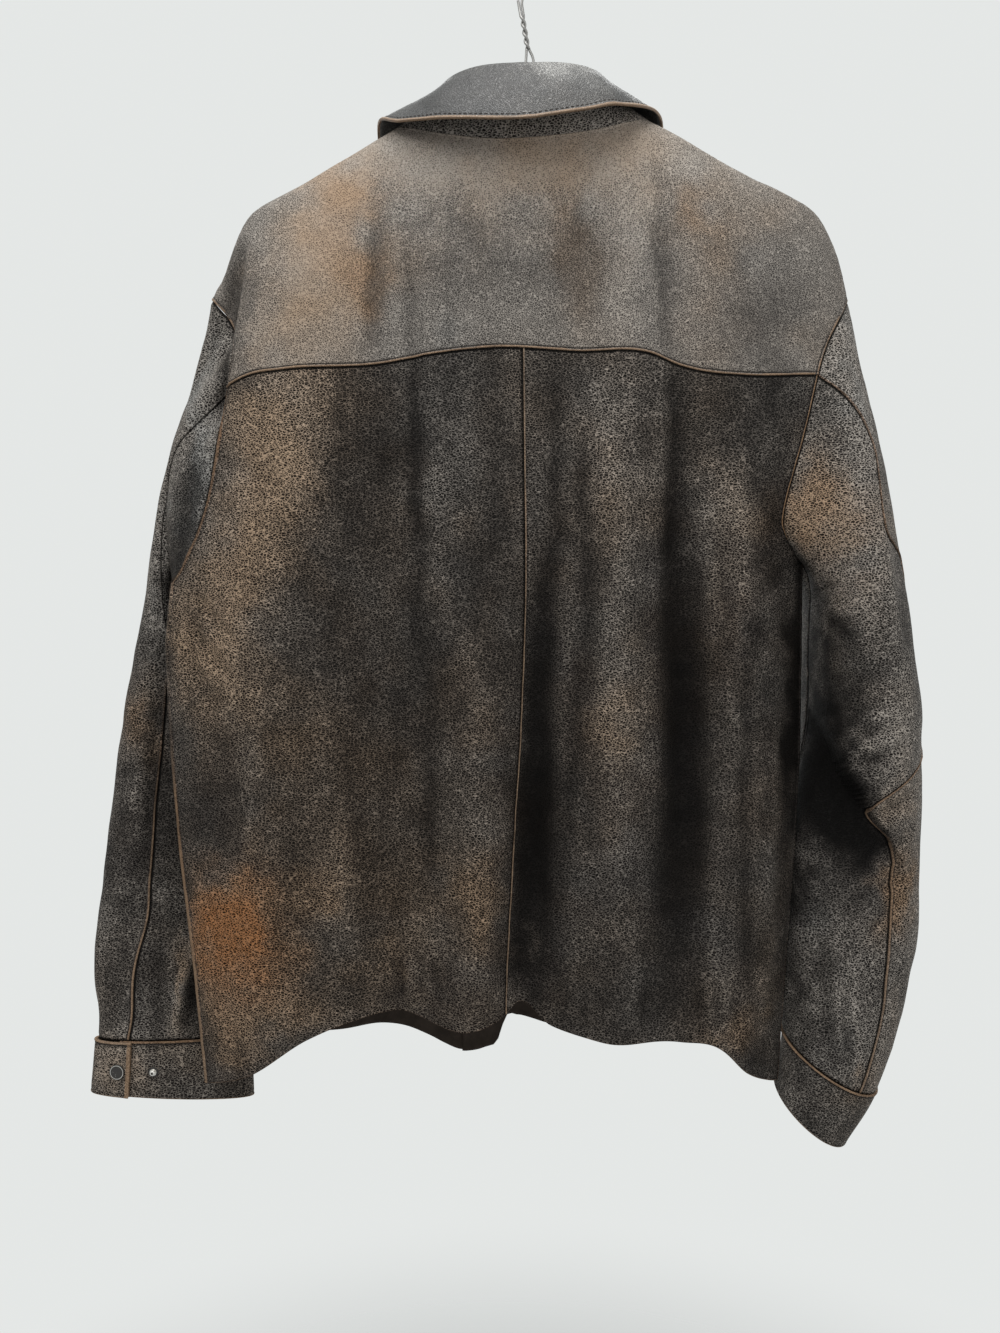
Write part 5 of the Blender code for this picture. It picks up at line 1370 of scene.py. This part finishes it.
def full(colour, share=1.0):
    """A colour, dimmed to a share, with its alpha."""
    return (*(c * share for c in colour[:3]), 1.0)


def new_material(name):
    """A material without nodes, its tree, and the place on the piece."""
    made = bpy.data.materials.new(name)
    made.use_nodes = True
    made.node_tree.nodes.clear()
    tree = Tree(made.node_tree)
    return made, tree, tree.add("ShaderNodeTexCoord").outputs["Object"]


def finish_material(tree, inputs, height, bump, distance):
    """Ends a material in one shader, with a bump from a height."""
    shader = tree.add("ShaderNodeBsdfPrincipled", inputs)
    raised = tree.add("ShaderNodeBump", {"Height": height, "Strength": bump, "Distance": distance})
    tree.feed(shader.inputs["Normal"], raised.outputs[0])
    tree.add("ShaderNodeOutputMaterial", {0: shader.outputs[0]})


def grain(tree, where, size, stretch):
    """The leather's grain: 1 on the fine ridges between its pits and 0 in the pits."""
    moved = where
    for lump, reach in ((9.0, 0.0035), (2.6, 0.0010)):
        wander = tree.vector("SUBTRACT", tree.noise(moved, lump, 1.0, output="Color"), (0.5, 0.5, 0.5))
        moved = tree.vector("ADD", moved, tree.vector("SCALE", wander, reach))
    place = tree.add("ShaderNodeMapping", {"Vector": moved, "Scale": stretch}).outputs[0]
    cells = tree.add("ShaderNodeTexVoronoi", {"Vector": place, "Scale": 1000.0 / size, "Randomness": 1.0},
                     feature="DISTANCE_TO_EDGE").outputs["Distance"]
    ripple = tree.noise(place, size * 0.55, 2.0, 0.6)
    ridge = tree.step(cells, 0.21, 0.0)
    return tree.math("MULTIPLY_ADD", tree.step(ripple, 0.35, 0.68), 0.3, tree.math("MULTIPLY", ridge, 0.7))


def leather_material(name, look, colours):
    """Rubbed leather with a pitted grain: dark in the pits, light on the ridges and bare on sewn edges."""
    made, tree, where = new_material(name)
    ridge = grain(tree, where, look["grain"], look["stretch"])
    fine = tree.noise(where, 0.9, 3.0, 0.65)
    speck = tree.noise(where, 5.5, 3.0, 0.6)
    blotch = tree.noise(where, 22.0, 3.0, 0.6)
    # The finish attribute: the rubbed wear, the stains and the seam edges' marks, with painted shade in
    # folds, creases, gaps and grooves and painted highlights.
    worn = tree.add("ShaderNodeAttribute", attribute_name="finish")
    parts = tree.add("ShaderNodeSeparateColor", {0: worn.outputs["Color"]})
    tone, warm, amber, mark = *parts.outputs, worn.outputs["Alpha"]

    depth = tree.step(speck, 0.3, 0.7, look["contrast"] * 0.88, look["contrast"] * 1.12)
    share = tree.math("MULTIPLY", tree.math("SUBTRACT", ridge, look["level"]), depth)
    share = tree.math("ADD", share, tree.step(blotch, 0.25, 0.75, 1 - look["blotch"], 1 + look["blotch"]))
    share = tree.math("ADD", share, tree.step(fine, 0.3, 0.7, -0.12, 0.12))
    tone = tree.math("MULTIPLY", tone, share)
    # Painted light and shade also pass through this ramp: its low end paints shade in folds, creases and
    # grooves, its high end paints highlights.
    ramp = tree.add("ShaderNodeValToRGB", {0: tone})
    stops = ramp.color_ramp.elements
    stops[0].color, stops[1].color = colours["deep"], colours["bare"]
    for place, key in ((0.25, "dark"), (0.5, "brown"), (0.75, "rubbed")):
        stops.new(place).color = colours[key]
    hue = tree.blend(tree.step(warm, 0.0, 1.0), ramp.outputs[0], colours["warm"], "MULTIPLY")
    hue = tree.blend(tree.step(warm, 0.0, -0.6), hue, colours["cool"], "MULTIPLY")
    tinted = tree.blend(1.0, ramp.outputs[0], colours["amber"], "MULTIPLY")
    hue = tree.blend(tree.math("MULTIPLY", amber, tree.step(speck, 0.2, 0.55, 0.7, 1.0)), hue, tinted)

    # Painted shade: where the mark is below 0, in the stitched grooves and beside lapped edges, the colour
    # goes towards the pits' colour.
    shade = tree.blend(tree.step(mark, -0.1, -0.85, 0.0, 0.9), hue, colours["deep"])
    edge = tree.blend(amber, colours["edge"], colours["edge_amber"])
    bare = tree.blend(tree.step(fine, 0.3, 0.7, 0.25, 1.0), colours["edge_dark"], edge)
    shade = tree.blend(tree.step(mark, 0.1, 0.75, 0.0, 0.97), shade, bare)

    rough = tree.step(ridge, 0.1, 0.8, look["rough"] + 0.22, look["rough"])
    rough = tree.math("ADD", rough, tree.step(speck, 0.3, 0.7, -0.05, 0.05))
    height = tree.math("MULTIPLY_ADD", fine, 0.15, ridge)
    inputs = {"Base Color": shade, "Roughness": rough, "Specular IOR Level": look["specular"]}
    finish_material(tree, inputs, height, look["bump"], 0.0009)
    return made


def suede_material(name, colour):
    """The leather's flesh side: matt, mottled and finely fibrous."""
    made, tree, where = new_material(name)
    fibre = tree.noise(where, 0.8, 3.0, 0.7)
    mottle = tree.noise(where, 16.0, 3.0, 0.6)
    dark = full(colour, 0.55)
    shade = tree.blend(tree.step(mottle, 0.3, 0.7), dark, colour)
    shade = tree.blend(tree.step(fibre, 0.3, 0.7, 0.0, 0.4), shade, dark)
    inputs = {"Base Color": shade, "Roughness": 0.95, "Specular IOR Level": 0.2}
    finish_material(tree, inputs, fibre, 0.5, 0.0004)
    return made


def thread_material(name, colour):
    """Waxed thread, a little uneven in colour."""
    made, tree, where = new_material(name)
    uneven = tree.noise(where, 2.0, 2.0)
    strand = tree.noise(where, 0.3, 1.0)
    shade = tree.blend(tree.step(uneven, 0.3, 0.7), full(colour, 0.6), colour)
    finish_material(tree, {"Base Color": shade, "Roughness": 0.7}, strand, 0.4, 0.0002)
    return made


def metal_material(name, colour, rough, worn, metallic):
    """Plated or painted metal, scuffed so that the worn colour shows in small spots."""
    made, tree, where = new_material(name)
    scuff = tree.noise(where, 3.0, 4.0, 0.7)
    drawn = tree.noise(where, 0.5, 2.0, 0.6)
    shade = tree.blend(tree.step(scuff, 0.62, 0.75), colour, worn)
    roughness = tree.step(drawn, 0.3, 0.7, rough, rough + 0.18)
    inputs = {"Base Color": shade, "Roughness": roughness, "Metallic": metallic}
    finish_material(tree, inputs, drawn, 0.15, 0.0001)
    return made


def node_tree(name, **sockets):
    """A new Geometry Nodes tree, the outputs that give its named inputs, and its line."""
    tree = bpy.data.node_groups.new(name, "GeometryNodeTree")
    for key, kind in {"Geometry": "Geometry", **sockets}.items():
        tree.interface.new_socket(key, in_out="INPUT", socket_type="NodeSocket" + kind)
    tree.interface.new_socket("Geometry", in_out="OUTPUT", socket_type="NodeSocketGeometry")
    made = Tree(tree)
    given = made.add("NodeGroupInput").outputs
    return made, given, made.add("GeometryNodeMeshToCurve", {0: given["Geometry"]}).outputs[0]


def finish_tree(made, shape, material):
    """Ends a Geometry Nodes tree in real, smooth geometry of one material."""
    real = made.add("GeometryNodeRealizeInstances", {0: shape.outputs[0]})
    smoothed = made.add("GeometryNodeSetShadeSmooth", {0: real.outputs[0]})
    shown = made.add("GeometryNodeSetMaterial", {0: smoothed.outputs[0], "Material": material})
    made.add("NodeGroupOutput", {0: shown.outputs[0]})
    return made.tree


def stitch_tree():
    """Lays stitches along lines: one flattened strand at each spacing, turned by the lay and the facing."""
    made, given, line = node_tree(
        "stitch run", Spacing="Float", Length="Float", Thickness="Float", Thread="Material")
    even = made.add("GeometryNodeResampleCurve", {"Curve": line, "Length": given["Spacing"]}, mode="LENGTH")
    strand = made.add("GeometryNodeMeshUVSphere", {"Segments": 6, "Rings": 5, "Radius": 0.5})
    lay, facing = (
        made.add("GeometryNodeInputNamedAttribute", {"Name": key}, data_type="FLOAT_VECTOR").outputs[0]
        for key in ("lay", "facing")
    )
    align = "FunctionNodeAlignRotationToVector"
    turn = made.add(align, {"Vector": lay}, axis="X").outputs[0]
    turn = made.add(align, {"Rotation": turn, "Vector": facing}, axis="Z", pivot_axis="X").outputs[0]
    sizes = {0: given["Length"], 1: given["Thickness"], 2: given["Thickness"]}
    scale = made.add("ShaderNodeCombineXYZ", sizes).outputs[0]
    laid = {"Points": even.outputs[0], "Instance": strand.outputs[0], "Rotation": turn, "Scale": scale}
    return finish_tree(made, made.add("GeometryNodeInstanceOnPoints", laid), given["Thread"])


def wire_tree():
    """Draws a round wire along a line."""
    made, given, line = node_tree("drawn wire", Diameter="Float", Sides="Int", Metal="Material")
    radius = made.math("MULTIPLY", given["Diameter"], 0.5)
    profile = made.add("GeometryNodeCurvePrimitiveCircle", {"Resolution": given["Sides"], "Radius": radius})
    drawn = {"Curve": line, "Profile Curve": profile.outputs[0], "Fill Caps": True}
    return finish_tree(made, made.add("GeometryNodeCurveToMesh", drawn), given["Metal"])


def grown(name, mesh, tree, values):
    """Runs a tree on a mesh and returns the result as a plain object."""
    seed = placed(name + "_path", mesh)
    modifier = seed.modifiers.new("grow", "NODES")
    modifier.node_group = tree
    for item in tree.interface.items_tree:
        if item.in_out == "INPUT" and item.name in values:
            modifier[item.identifier] = values[item.name]
    seed.update_tag()
    graph = bpy.context.evaluated_depsgraph_get()
    made = bpy.data.meshes.new_from_object(seed.evaluated_get(graph), depsgraph=graph)
    seed.modifiers.clear()
    bpy.data.objects.remove(seed)
    made.name = name
    return placed(name, made)


def line_mesh(name, points):
    mesh = bpy.data.meshes.new(name)
    mesh.from_pydata((np.asarray(points) * MM).tolist(), [(k, k + 1) for k in range(len(points) - 1)], [])
    return mesh


def turned(name, rings, place, facing, looks, sides=40):
    """A small round piece: each ring has a radius, a height and the number of its look."""
    facing = unit(facing)
    across = unit(np.cross(facing, (0.0, 0.0, 1.0)))
    up = np.cross(across, facing)
    angle = 2 * math.pi * np.arange(sides) / sides
    spokes = np.cos(angle)[:, None] * across + np.sin(angle)[:, None] * up
    points = np.concatenate([place + facing * height + spokes * radius for radius, height, _ in rings])
    faces, kinds = [], []
    for ring in range(len(rings) - 1):
        for k in range(sides):
            low, high = ring * sides, (ring + 1) * sides
            faces.append((low + k, high + k, high + (k + 1) % sides, low + (k + 1) % sides))
            kinds.append(rings[ring + 1][2])
    faces += [tuple(range(sides)), tuple(reversed(range((len(rings) - 1) * sides, len(rings) * sides)))]
    kinds += [rings[0][2], rings[-1][2]]
    mesh = bpy.data.meshes.new(name)
    mesh.from_pydata((points * MM).tolist(), [], faces)
    for look in looks:
        mesh.materials.append(look)
    mesh.polygons.foreach_set("material_index", kinds)
    mesh.shade_smooth()
    mesh.set_sharp_from_angle(angle=math.radians(42))
    return placed(name, mesh)


# --------------------------------------------------------------------------- what a user can change
def size(name, description, default):
    return FloatProperty(
        name=name, description=description, default=default, min=0.0, subtype="DISTANCE", unit="LENGTH")


def power(name, description, default):
    return FloatProperty(name=name, description=description, default=default, min=0.0, unit="POWER")


def colour(name, description, *default):
    return FloatVectorProperty(
        name=name, description=description, default=default, size=3, min=0.0, max=1.0, subtype="COLOR")


class CoatSizes(PropertyGroup):
    """Sizes of the coat's finish."""
    wall: size("Leather", "Thickness of the leather with its seam turnings", 0.0018)
    cuff_wall: size("Cuff", "Thickness of the doubled leather of the cuffs", 0.003)
    grain: size("Grain", "Size of a pebble of the leather's grain", 0.0018)
    yoke_grain: size("Yoke grain", "Size of a pebble on the yoke, where the leather is finer", 0.0015)
    stitch_spacing: size("Stitch spacing", "From one stitch to the next", 0.0042)
    stitch_length: size("Stitch length", "Length of one stitch", 0.0031)
    thread: size("Thread", "Thickness of the thread", 0.0007)
    cap_radius: size("Snap cap", "Radius of a snap's cap", 0.0065)
    wire: size("Wire", "Diameter of the hanger's wire", 0.0022)
    wire_sides: IntProperty(name="Wire sides", description="Facets around the wire", default=14, min=3)


class CoatColours(PropertyGroup):
    """Colours of the coat's finish."""
    # Besides the grain's pits, the Pits colour paints shade in the grooves and the deep folds.
    deep: colour("Pits", "In the grain's pits, the grooves and the deep folds", 0.0035, 0.0032, 0.0030)
    dark: colour("Dark", "The leather where its top coat is whole", 0.021, 0.0188, 0.0172)
    brown: colour("Brown", "The leather's own brown", 0.076, 0.069, 0.062)
    # The Rubbed and Bare colours also paint the highlights and sheen at the top of the tone.
    rubbed: colour("Rubbed", "Where the top coat has been rubbed thin", 0.205, 0.187, 0.166)
    bare: colour("Bare", "Where the top coat has gone", 0.47, 0.43, 0.38)
    warm: colour("Warmth", "Tint of the rubbed brown areas", 1.0, 0.80, 0.62)
    # The Coolness tint also colours the painted sheen on the sleeves' tops and the collar.
    cool: colour("Coolness", "Tint of the bluish dark areas", 0.87, 0.94, 1.0)
    amber: colour("Amber", "Tint of the orange patch by the hem", 1.0, 0.52, 0.26)
    edge: colour("Edges", "Rubbed seam edges", 0.50, 0.39, 0.29)
    edge_amber: colour("Edges, orange", "Rubbed seam edges where they are orange", 0.44, 0.25, 0.12)
    edge_dark: colour("Edges, dull", "Less rubbed parts of the seam edges", 0.12, 0.07, 0.04)
    lining: colour("Flesh side", "The inside of the leather", 0.062, 0.048, 0.038)
    thread: colour("Thread", "Sewing thread", 0.045, 0.034, 0.028)
    cap: colour("Snap cap", "Paint of the snap caps", 0.017, 0.014, 0.012)
    metal: colour("Snap metal", "Plating of the snap studs", 0.62, 0.60, 0.56)
    wire: colour("Wire", "Drawn steel of the hanger", 0.27, 0.265, 0.255)


class StageSettings(PropertyGroup):
    """Floor, lights and background."""
    floor_drop: size("Floor", "Height of the hook above the floor", 1.75)
    floor_radius: size("Floor radius", "Where the floor has faded out", 1.2)
    floor: colour("Floor", "Colour of the floor", 0.74, 0.76, 0.75)
    background: colour("Background", "Colour seen behind the coat", 0.78, 0.80, 0.79)
    key_power: power("Key light", "Power of the large light", 17.0)
    top_power: power("Top light", "Power of the light overhead", 16.0)
    fill_power: power("Fill light", "Power of the second light", 7.0)
    surround: FloatProperty(
        name="Surround", description="Strength of the even light from all round", default=0.36, min=0)


def colours_of(context):
    return {key: full(getattr(context.scene.coat_colours, key)) for key in CoatColours.__annotations__}


# --------------------------------------------------------------------------- operators
class Finishes(Operator):
    """Make the leather, suede, thread and metal materials."""
    bl_idname = "coat.finishes"
    bl_label = "Finishes"

    def execute(self, context):
        sizes, colours = context.scene.coat_sizes, colours_of(context)
        coat = dict(grain=sizes.grain / MM, stretch=(0.68, 1.0, 1.15), contrast=2.2, level=0.40, blotch=0.08,
                    rough=0.48, specular=0.06, bump=0.8)
        yoke = dict(coat, grain=sizes.yoke_grain / MM, stretch=(0.85, 1.0, 1.0), contrast=1.0, blotch=0.05,
                    specular=0.1, bump=0.5)
        collar = dict(yoke, contrast=1.2, blotch=0.1, rough=0.28, specular=0.5, bump=0.35)
        for name, look in (("coat leather", coat), ("yoke leather", yoke), ("collar leather", collar)):
            leather_material(name, look, colours)
        suede_material("flesh side", colours["lining"])
        thread_material("waxed thread", colours["thread"])
        metal_material("snap paint", colours["cap"], 0.35, colours["metal"], 0.0)
        metal_material("snap plating", colours["metal"], 0.22, colours["brown"], 1.0)
        metal_material("drawn steel", colours["wire"], 0.36, colours["rubbed"], 1.0)
        return {"FINISHED"}


def looks(*names):
    return [bpy.data.materials[name] for name in names]


class PanelOperator:
    """Makes the panels in its list."""
    panels = ()

    def execute(self, context):
        sizes = context.scene.coat_sizes
        for name in self.panels:
            leather, rests_on = PANELS[name][:2]
            thick = (sizes.cuff_wall if name.startswith("cuff") else sizes.wall) / MM
            slot = "collar_leather" if name.startswith("collar") else "coat_leather"
            outside = leather + " leather"
            inside = outside if name.startswith("collar") else "flesh side"
            sewn_panel(name, thick, *looks(outside, inside), slot, [rests_on])
        return {"FINISHED"}


class YokeAndBack(PanelOperator, Operator):
    """Make the yoke and the two halves of the back."""
    bl_idname = "coat.back"
    bl_label = "Yoke and back"
    panels = ("yoke", "back_left", "back_right")


class Fronts(PanelOperator, Operator):
    """Make the two fronts, the left one lapping over the right."""
    bl_idname = "coat.fronts"
    bl_label = "Fronts"
    panels = ("front_left", "front_right")


class Collar(PanelOperator, Operator):
    """Make the collar's stand and its turned-down leaf."""
    bl_idname = "coat.collar"
    bl_label = "Collar"
    panels = ("collar_stand", "collar_leaf")


class Sleeves(PanelOperator, Operator):
    """Make the two-piece sleeves."""
    bl_idname = "coat.sleeves"
    bl_label = "Sleeves"
    panels = ("sleeve_left_top", "sleeve_left_under", "sleeve_right_top", "sleeve_right_under")


class Cuffs(PanelOperator, Operator):
    """Make the cuffs, whose flaps lap over their under ends."""
    bl_idname = "coat.cuffs"
    bl_label = "Cuffs"
    panels = ("cuff_left", "cuff_right")


class Stitches(Operator):
    """Lay the stitches beside the seams."""
    bl_idname = "coat.stitches"
    bl_label = "Stitches"

    def execute(self, context):
        sizes = context.scene.coat_sizes
        values = {"Spacing": sizes.stitch_spacing, "Length": sizes.stitch_length, "Thickness": sizes.thread,
                  "Thread": looks("waxed thread")[0]}
        made = grown("stitches", stitch_paths(sizes.wall / MM), stitch_tree(), values)
        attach(made, "root")
        return {"FINISHED"}


class Snaps(Operator):
    """Make the snap caps and the open stud."""
    bl_idname = "coat.snaps"
    bl_label = "Snaps"

    def execute(self, context):
        sizes = context.scene.coat_sizes
        radius, cuff = sizes.cap_radius / MM, sizes.cuff_wall / MM
        places = [
            (name, kind, *on_cuff(side, SNAP_ALONG, turn, cuff / 2 + lift + 0.4))
            for name, side, turn, lift, kind in CUFF_SNAPS
        ]
        for k in range(FRONT_SNAPS):
            z = FIRST_SNAP_Z - k * SNAP_STEP
            x = read(CENTRE_FRONT, z)
            y = front_y(x, z) + LAP_LIFT + WALL / 2 + 0.8
            places.append((f"front_snap_{k + 1}", "cap", np.array([x, y, z]), np.array([0.0, 1.0, 0.0])))
        for name, kind, place, facing in places:
            rings = CAP_RINGS if kind == "cap" else STUD_RINGS
            rings = [(share * radius, height, look) for share, height, look in rings]
            made = turned("shown_" + name, rings, place, facing, looks("snap paint", "snap plating"))
            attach(made, "root")
            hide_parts(name)
        return {"FINISHED"}


class Hanger(Operator):
    """Draw the hanger from one wire, with its neck wound round."""
    bl_idname = "coat.hanger"
    bl_label = "Hanger"

    def execute(self, context):
        sizes = context.scene.coat_sizes
        values = {"Diameter": sizes.wire, "Sides": sizes.wire_sides, "Metal": looks("drawn steel")[0]}
        made = grown("wire_hanger", line_mesh("hanger line", hanger_path()), wire_tree(), values)
        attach(made, "root")
        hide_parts("hanger")
        return {"FINISHED"}


def area_light(name, place, aim, size, power):
    """A round soft light that faces its aim."""
    data = bpy.data.lights.new(name, "AREA")
    data.shape, data.size, data.energy = "DISK", size, power
    made = placed(name, data)
    made.location = place
    x, y, z = np.array(aim, float) - np.array(place, float)
    made.rotation_euler = (math.atan2(math.hypot(x, y), -z), 0.0, math.atan2(y, x) - math.pi / 2)


def pale_floor(drop, radius, shade):
    """A round floor that fades out towards its rim."""
    made, tree, where = new_material("pale floor")
    away = tree.vector("LENGTH", tree.vector("MULTIPLY", where, (1.0, 1.0, 0.0)))
    uneven = tree.step(tree.noise(where, 60.0, 3.0), 0.3, 0.7, 0.0, 0.3)
    shade = tree.blend(uneven, full(shade), full(shade, 0.97))
    paint = tree.add("ShaderNodeBsdfDiffuse", {"Color": shade}).outputs[0]
    clear = tree.add("ShaderNodeBsdfTransparent").outputs[0]
    gone = tree.step(away, radius * 0.35, radius * 0.98)
    mixed = tree.add("ShaderNodeMixShader", {0: gone, 1: paint, 2: clear}).outputs[0]
    tree.add("ShaderNodeOutputMaterial", {0: mixed})
    work = bmesh.new()
    bmesh.ops.create_circle(work, cap_ends=True, segments=64, radius=radius)
    bmesh.ops.translate(work, verts=work.verts, vec=(0, 0, -drop))
    mesh = bpy.data.meshes.new("floor")
    work.to_mesh(mesh)
    work.free()
    mesh.materials.append(made)
    floor = placed("floor", mesh)


def studio_world(background, surround):
    """Even light from all round, and a plain background where the camera or gloss sees past the coat."""
    world = bpy.data.worlds.new("studio")
    bpy.context.scene.world = world
    world.use_nodes = True
    world.node_tree.nodes.clear()
    tree = Tree(world.node_tree)
    path = tree.add("ShaderNodeLightPath").outputs
    seen = tree.math("MAXIMUM", path["Is Camera Ray"], path["Is Glossy Ray"])
    seen = tree.math("MAXIMUM", seen, path["Is Transmission Ray"])
    even = tree.add("ShaderNodeBackground", {"Color": (1, 1, 1, 1), "Strength": surround}).outputs[0]
    wall = tree.add("ShaderNodeBackground", {"Color": full(background), "Strength": 1.0}).outputs[0]
    mixed = tree.add("ShaderNodeMixShader", {0: seen, 1: even, 2: wall}).outputs[0]
    tree.add("ShaderNodeOutputWorld", {0: mixed})


def coat_camera():
    lens = bpy.data.cameras.new("camera")
    lens.sensor_fit, lens.sensor_height, lens.lens = "VERTICAL", 36.0, CAMERA_LENS
    camera = placed("camera", lens)
    camera.location = CAMERA_PLACE
    camera.rotation_euler = (math.radians(90 - CAMERA_PITCH), 0, 0)
    bpy.context.scene.camera = camera


class Stage(Operator):
    """Make the floor, the lights, the background and the camera."""
    bl_idname = "coat.stage"
    bl_label = "Stage"

    def execute(self, context):
        stage = context.scene.coat_stage
        pale_floor(stage.floor_drop, stage.floor_radius, tuple(stage.floor))
        area_light("key", (-0.85, -1.25, 1.05), (0.0, 0.0, -0.45), 1.5, stage.key_power)
        area_light("top", (0.0, -0.35, 1.3), (0.0, 0.0, -0.3), 1.2, stage.top_power)
        area_light("fill", (1.3, -1.2, -0.1), (0.0, 0.0, -0.5), 1.6, stage.fill_power)
        area_light("back fill", (0.3, 1.8, 0.7), (0.0, 0.0, -0.5), 1.6, stage.fill_power * 1.6)
        studio_world(stage.background, stage.surround)
        coat_camera()
        context.scene.view_settings.view_transform = "Standard"
        return {"FINISHED"}


class CoatPanel(Panel):
    """The coat's pieces, sizes and colours, in the sidebar."""
    bl_idname = "VIEW3D_PT_coat"
    bl_label = "Worn leather coat"
    bl_space_type = "VIEW_3D"
    bl_region_type = "UI"
    bl_category = "Coat"

    def draw(self, context):
        layout = self.layout
        for operator in OPERATORS:
            layout.operator(operator.bl_idname)
        for title, key, kind in GROUPS:
            box = layout.box()
            box.label(text=title)
            for name in kind.__annotations__:
                box.prop(getattr(context.scene, key), name)


OPERATORS = (Finishes, YokeAndBack, Fronts, Collar, Sleeves, Cuffs, Stitches, Snaps, Hanger, Stage)
GROUPS = (
    ("Sizes", "coat_sizes", CoatSizes),
    ("Colours", "coat_colours", CoatColours),
    ("Stage", "coat_stage", StageSettings),
)


def register():
    for _, key, kind in GROUPS:
        bpy.utils.register_class(kind)
        setattr(bpy.types.Scene, key, PointerProperty(type=kind))
    for operator in OPERATORS:
        bpy.utils.register_class(operator)
    bpy.utils.register_class(CoatPanel)


def unregister():
    bpy.utils.unregister_class(CoatPanel)
    for operator in reversed(OPERATORS):
        bpy.utils.unregister_class(operator)
    for _, key, kind in reversed(GROUPS):
        delattr(bpy.types.Scene, key)
        bpy.utils.unregister_class(kind)


def main():
    register()
    for name in ("Cube", "Light", "Camera"):
        if name in bpy.data.objects:
            bpy.data.objects.remove(bpy.data.objects[name])
    for operator in OPERATORS:
        group, name = operator.bl_idname.split(".")
        getattr(getattr(bpy.ops, group), name)()
    bpy.context.view_layer.update()


if __name__ == "__main__":
    main()
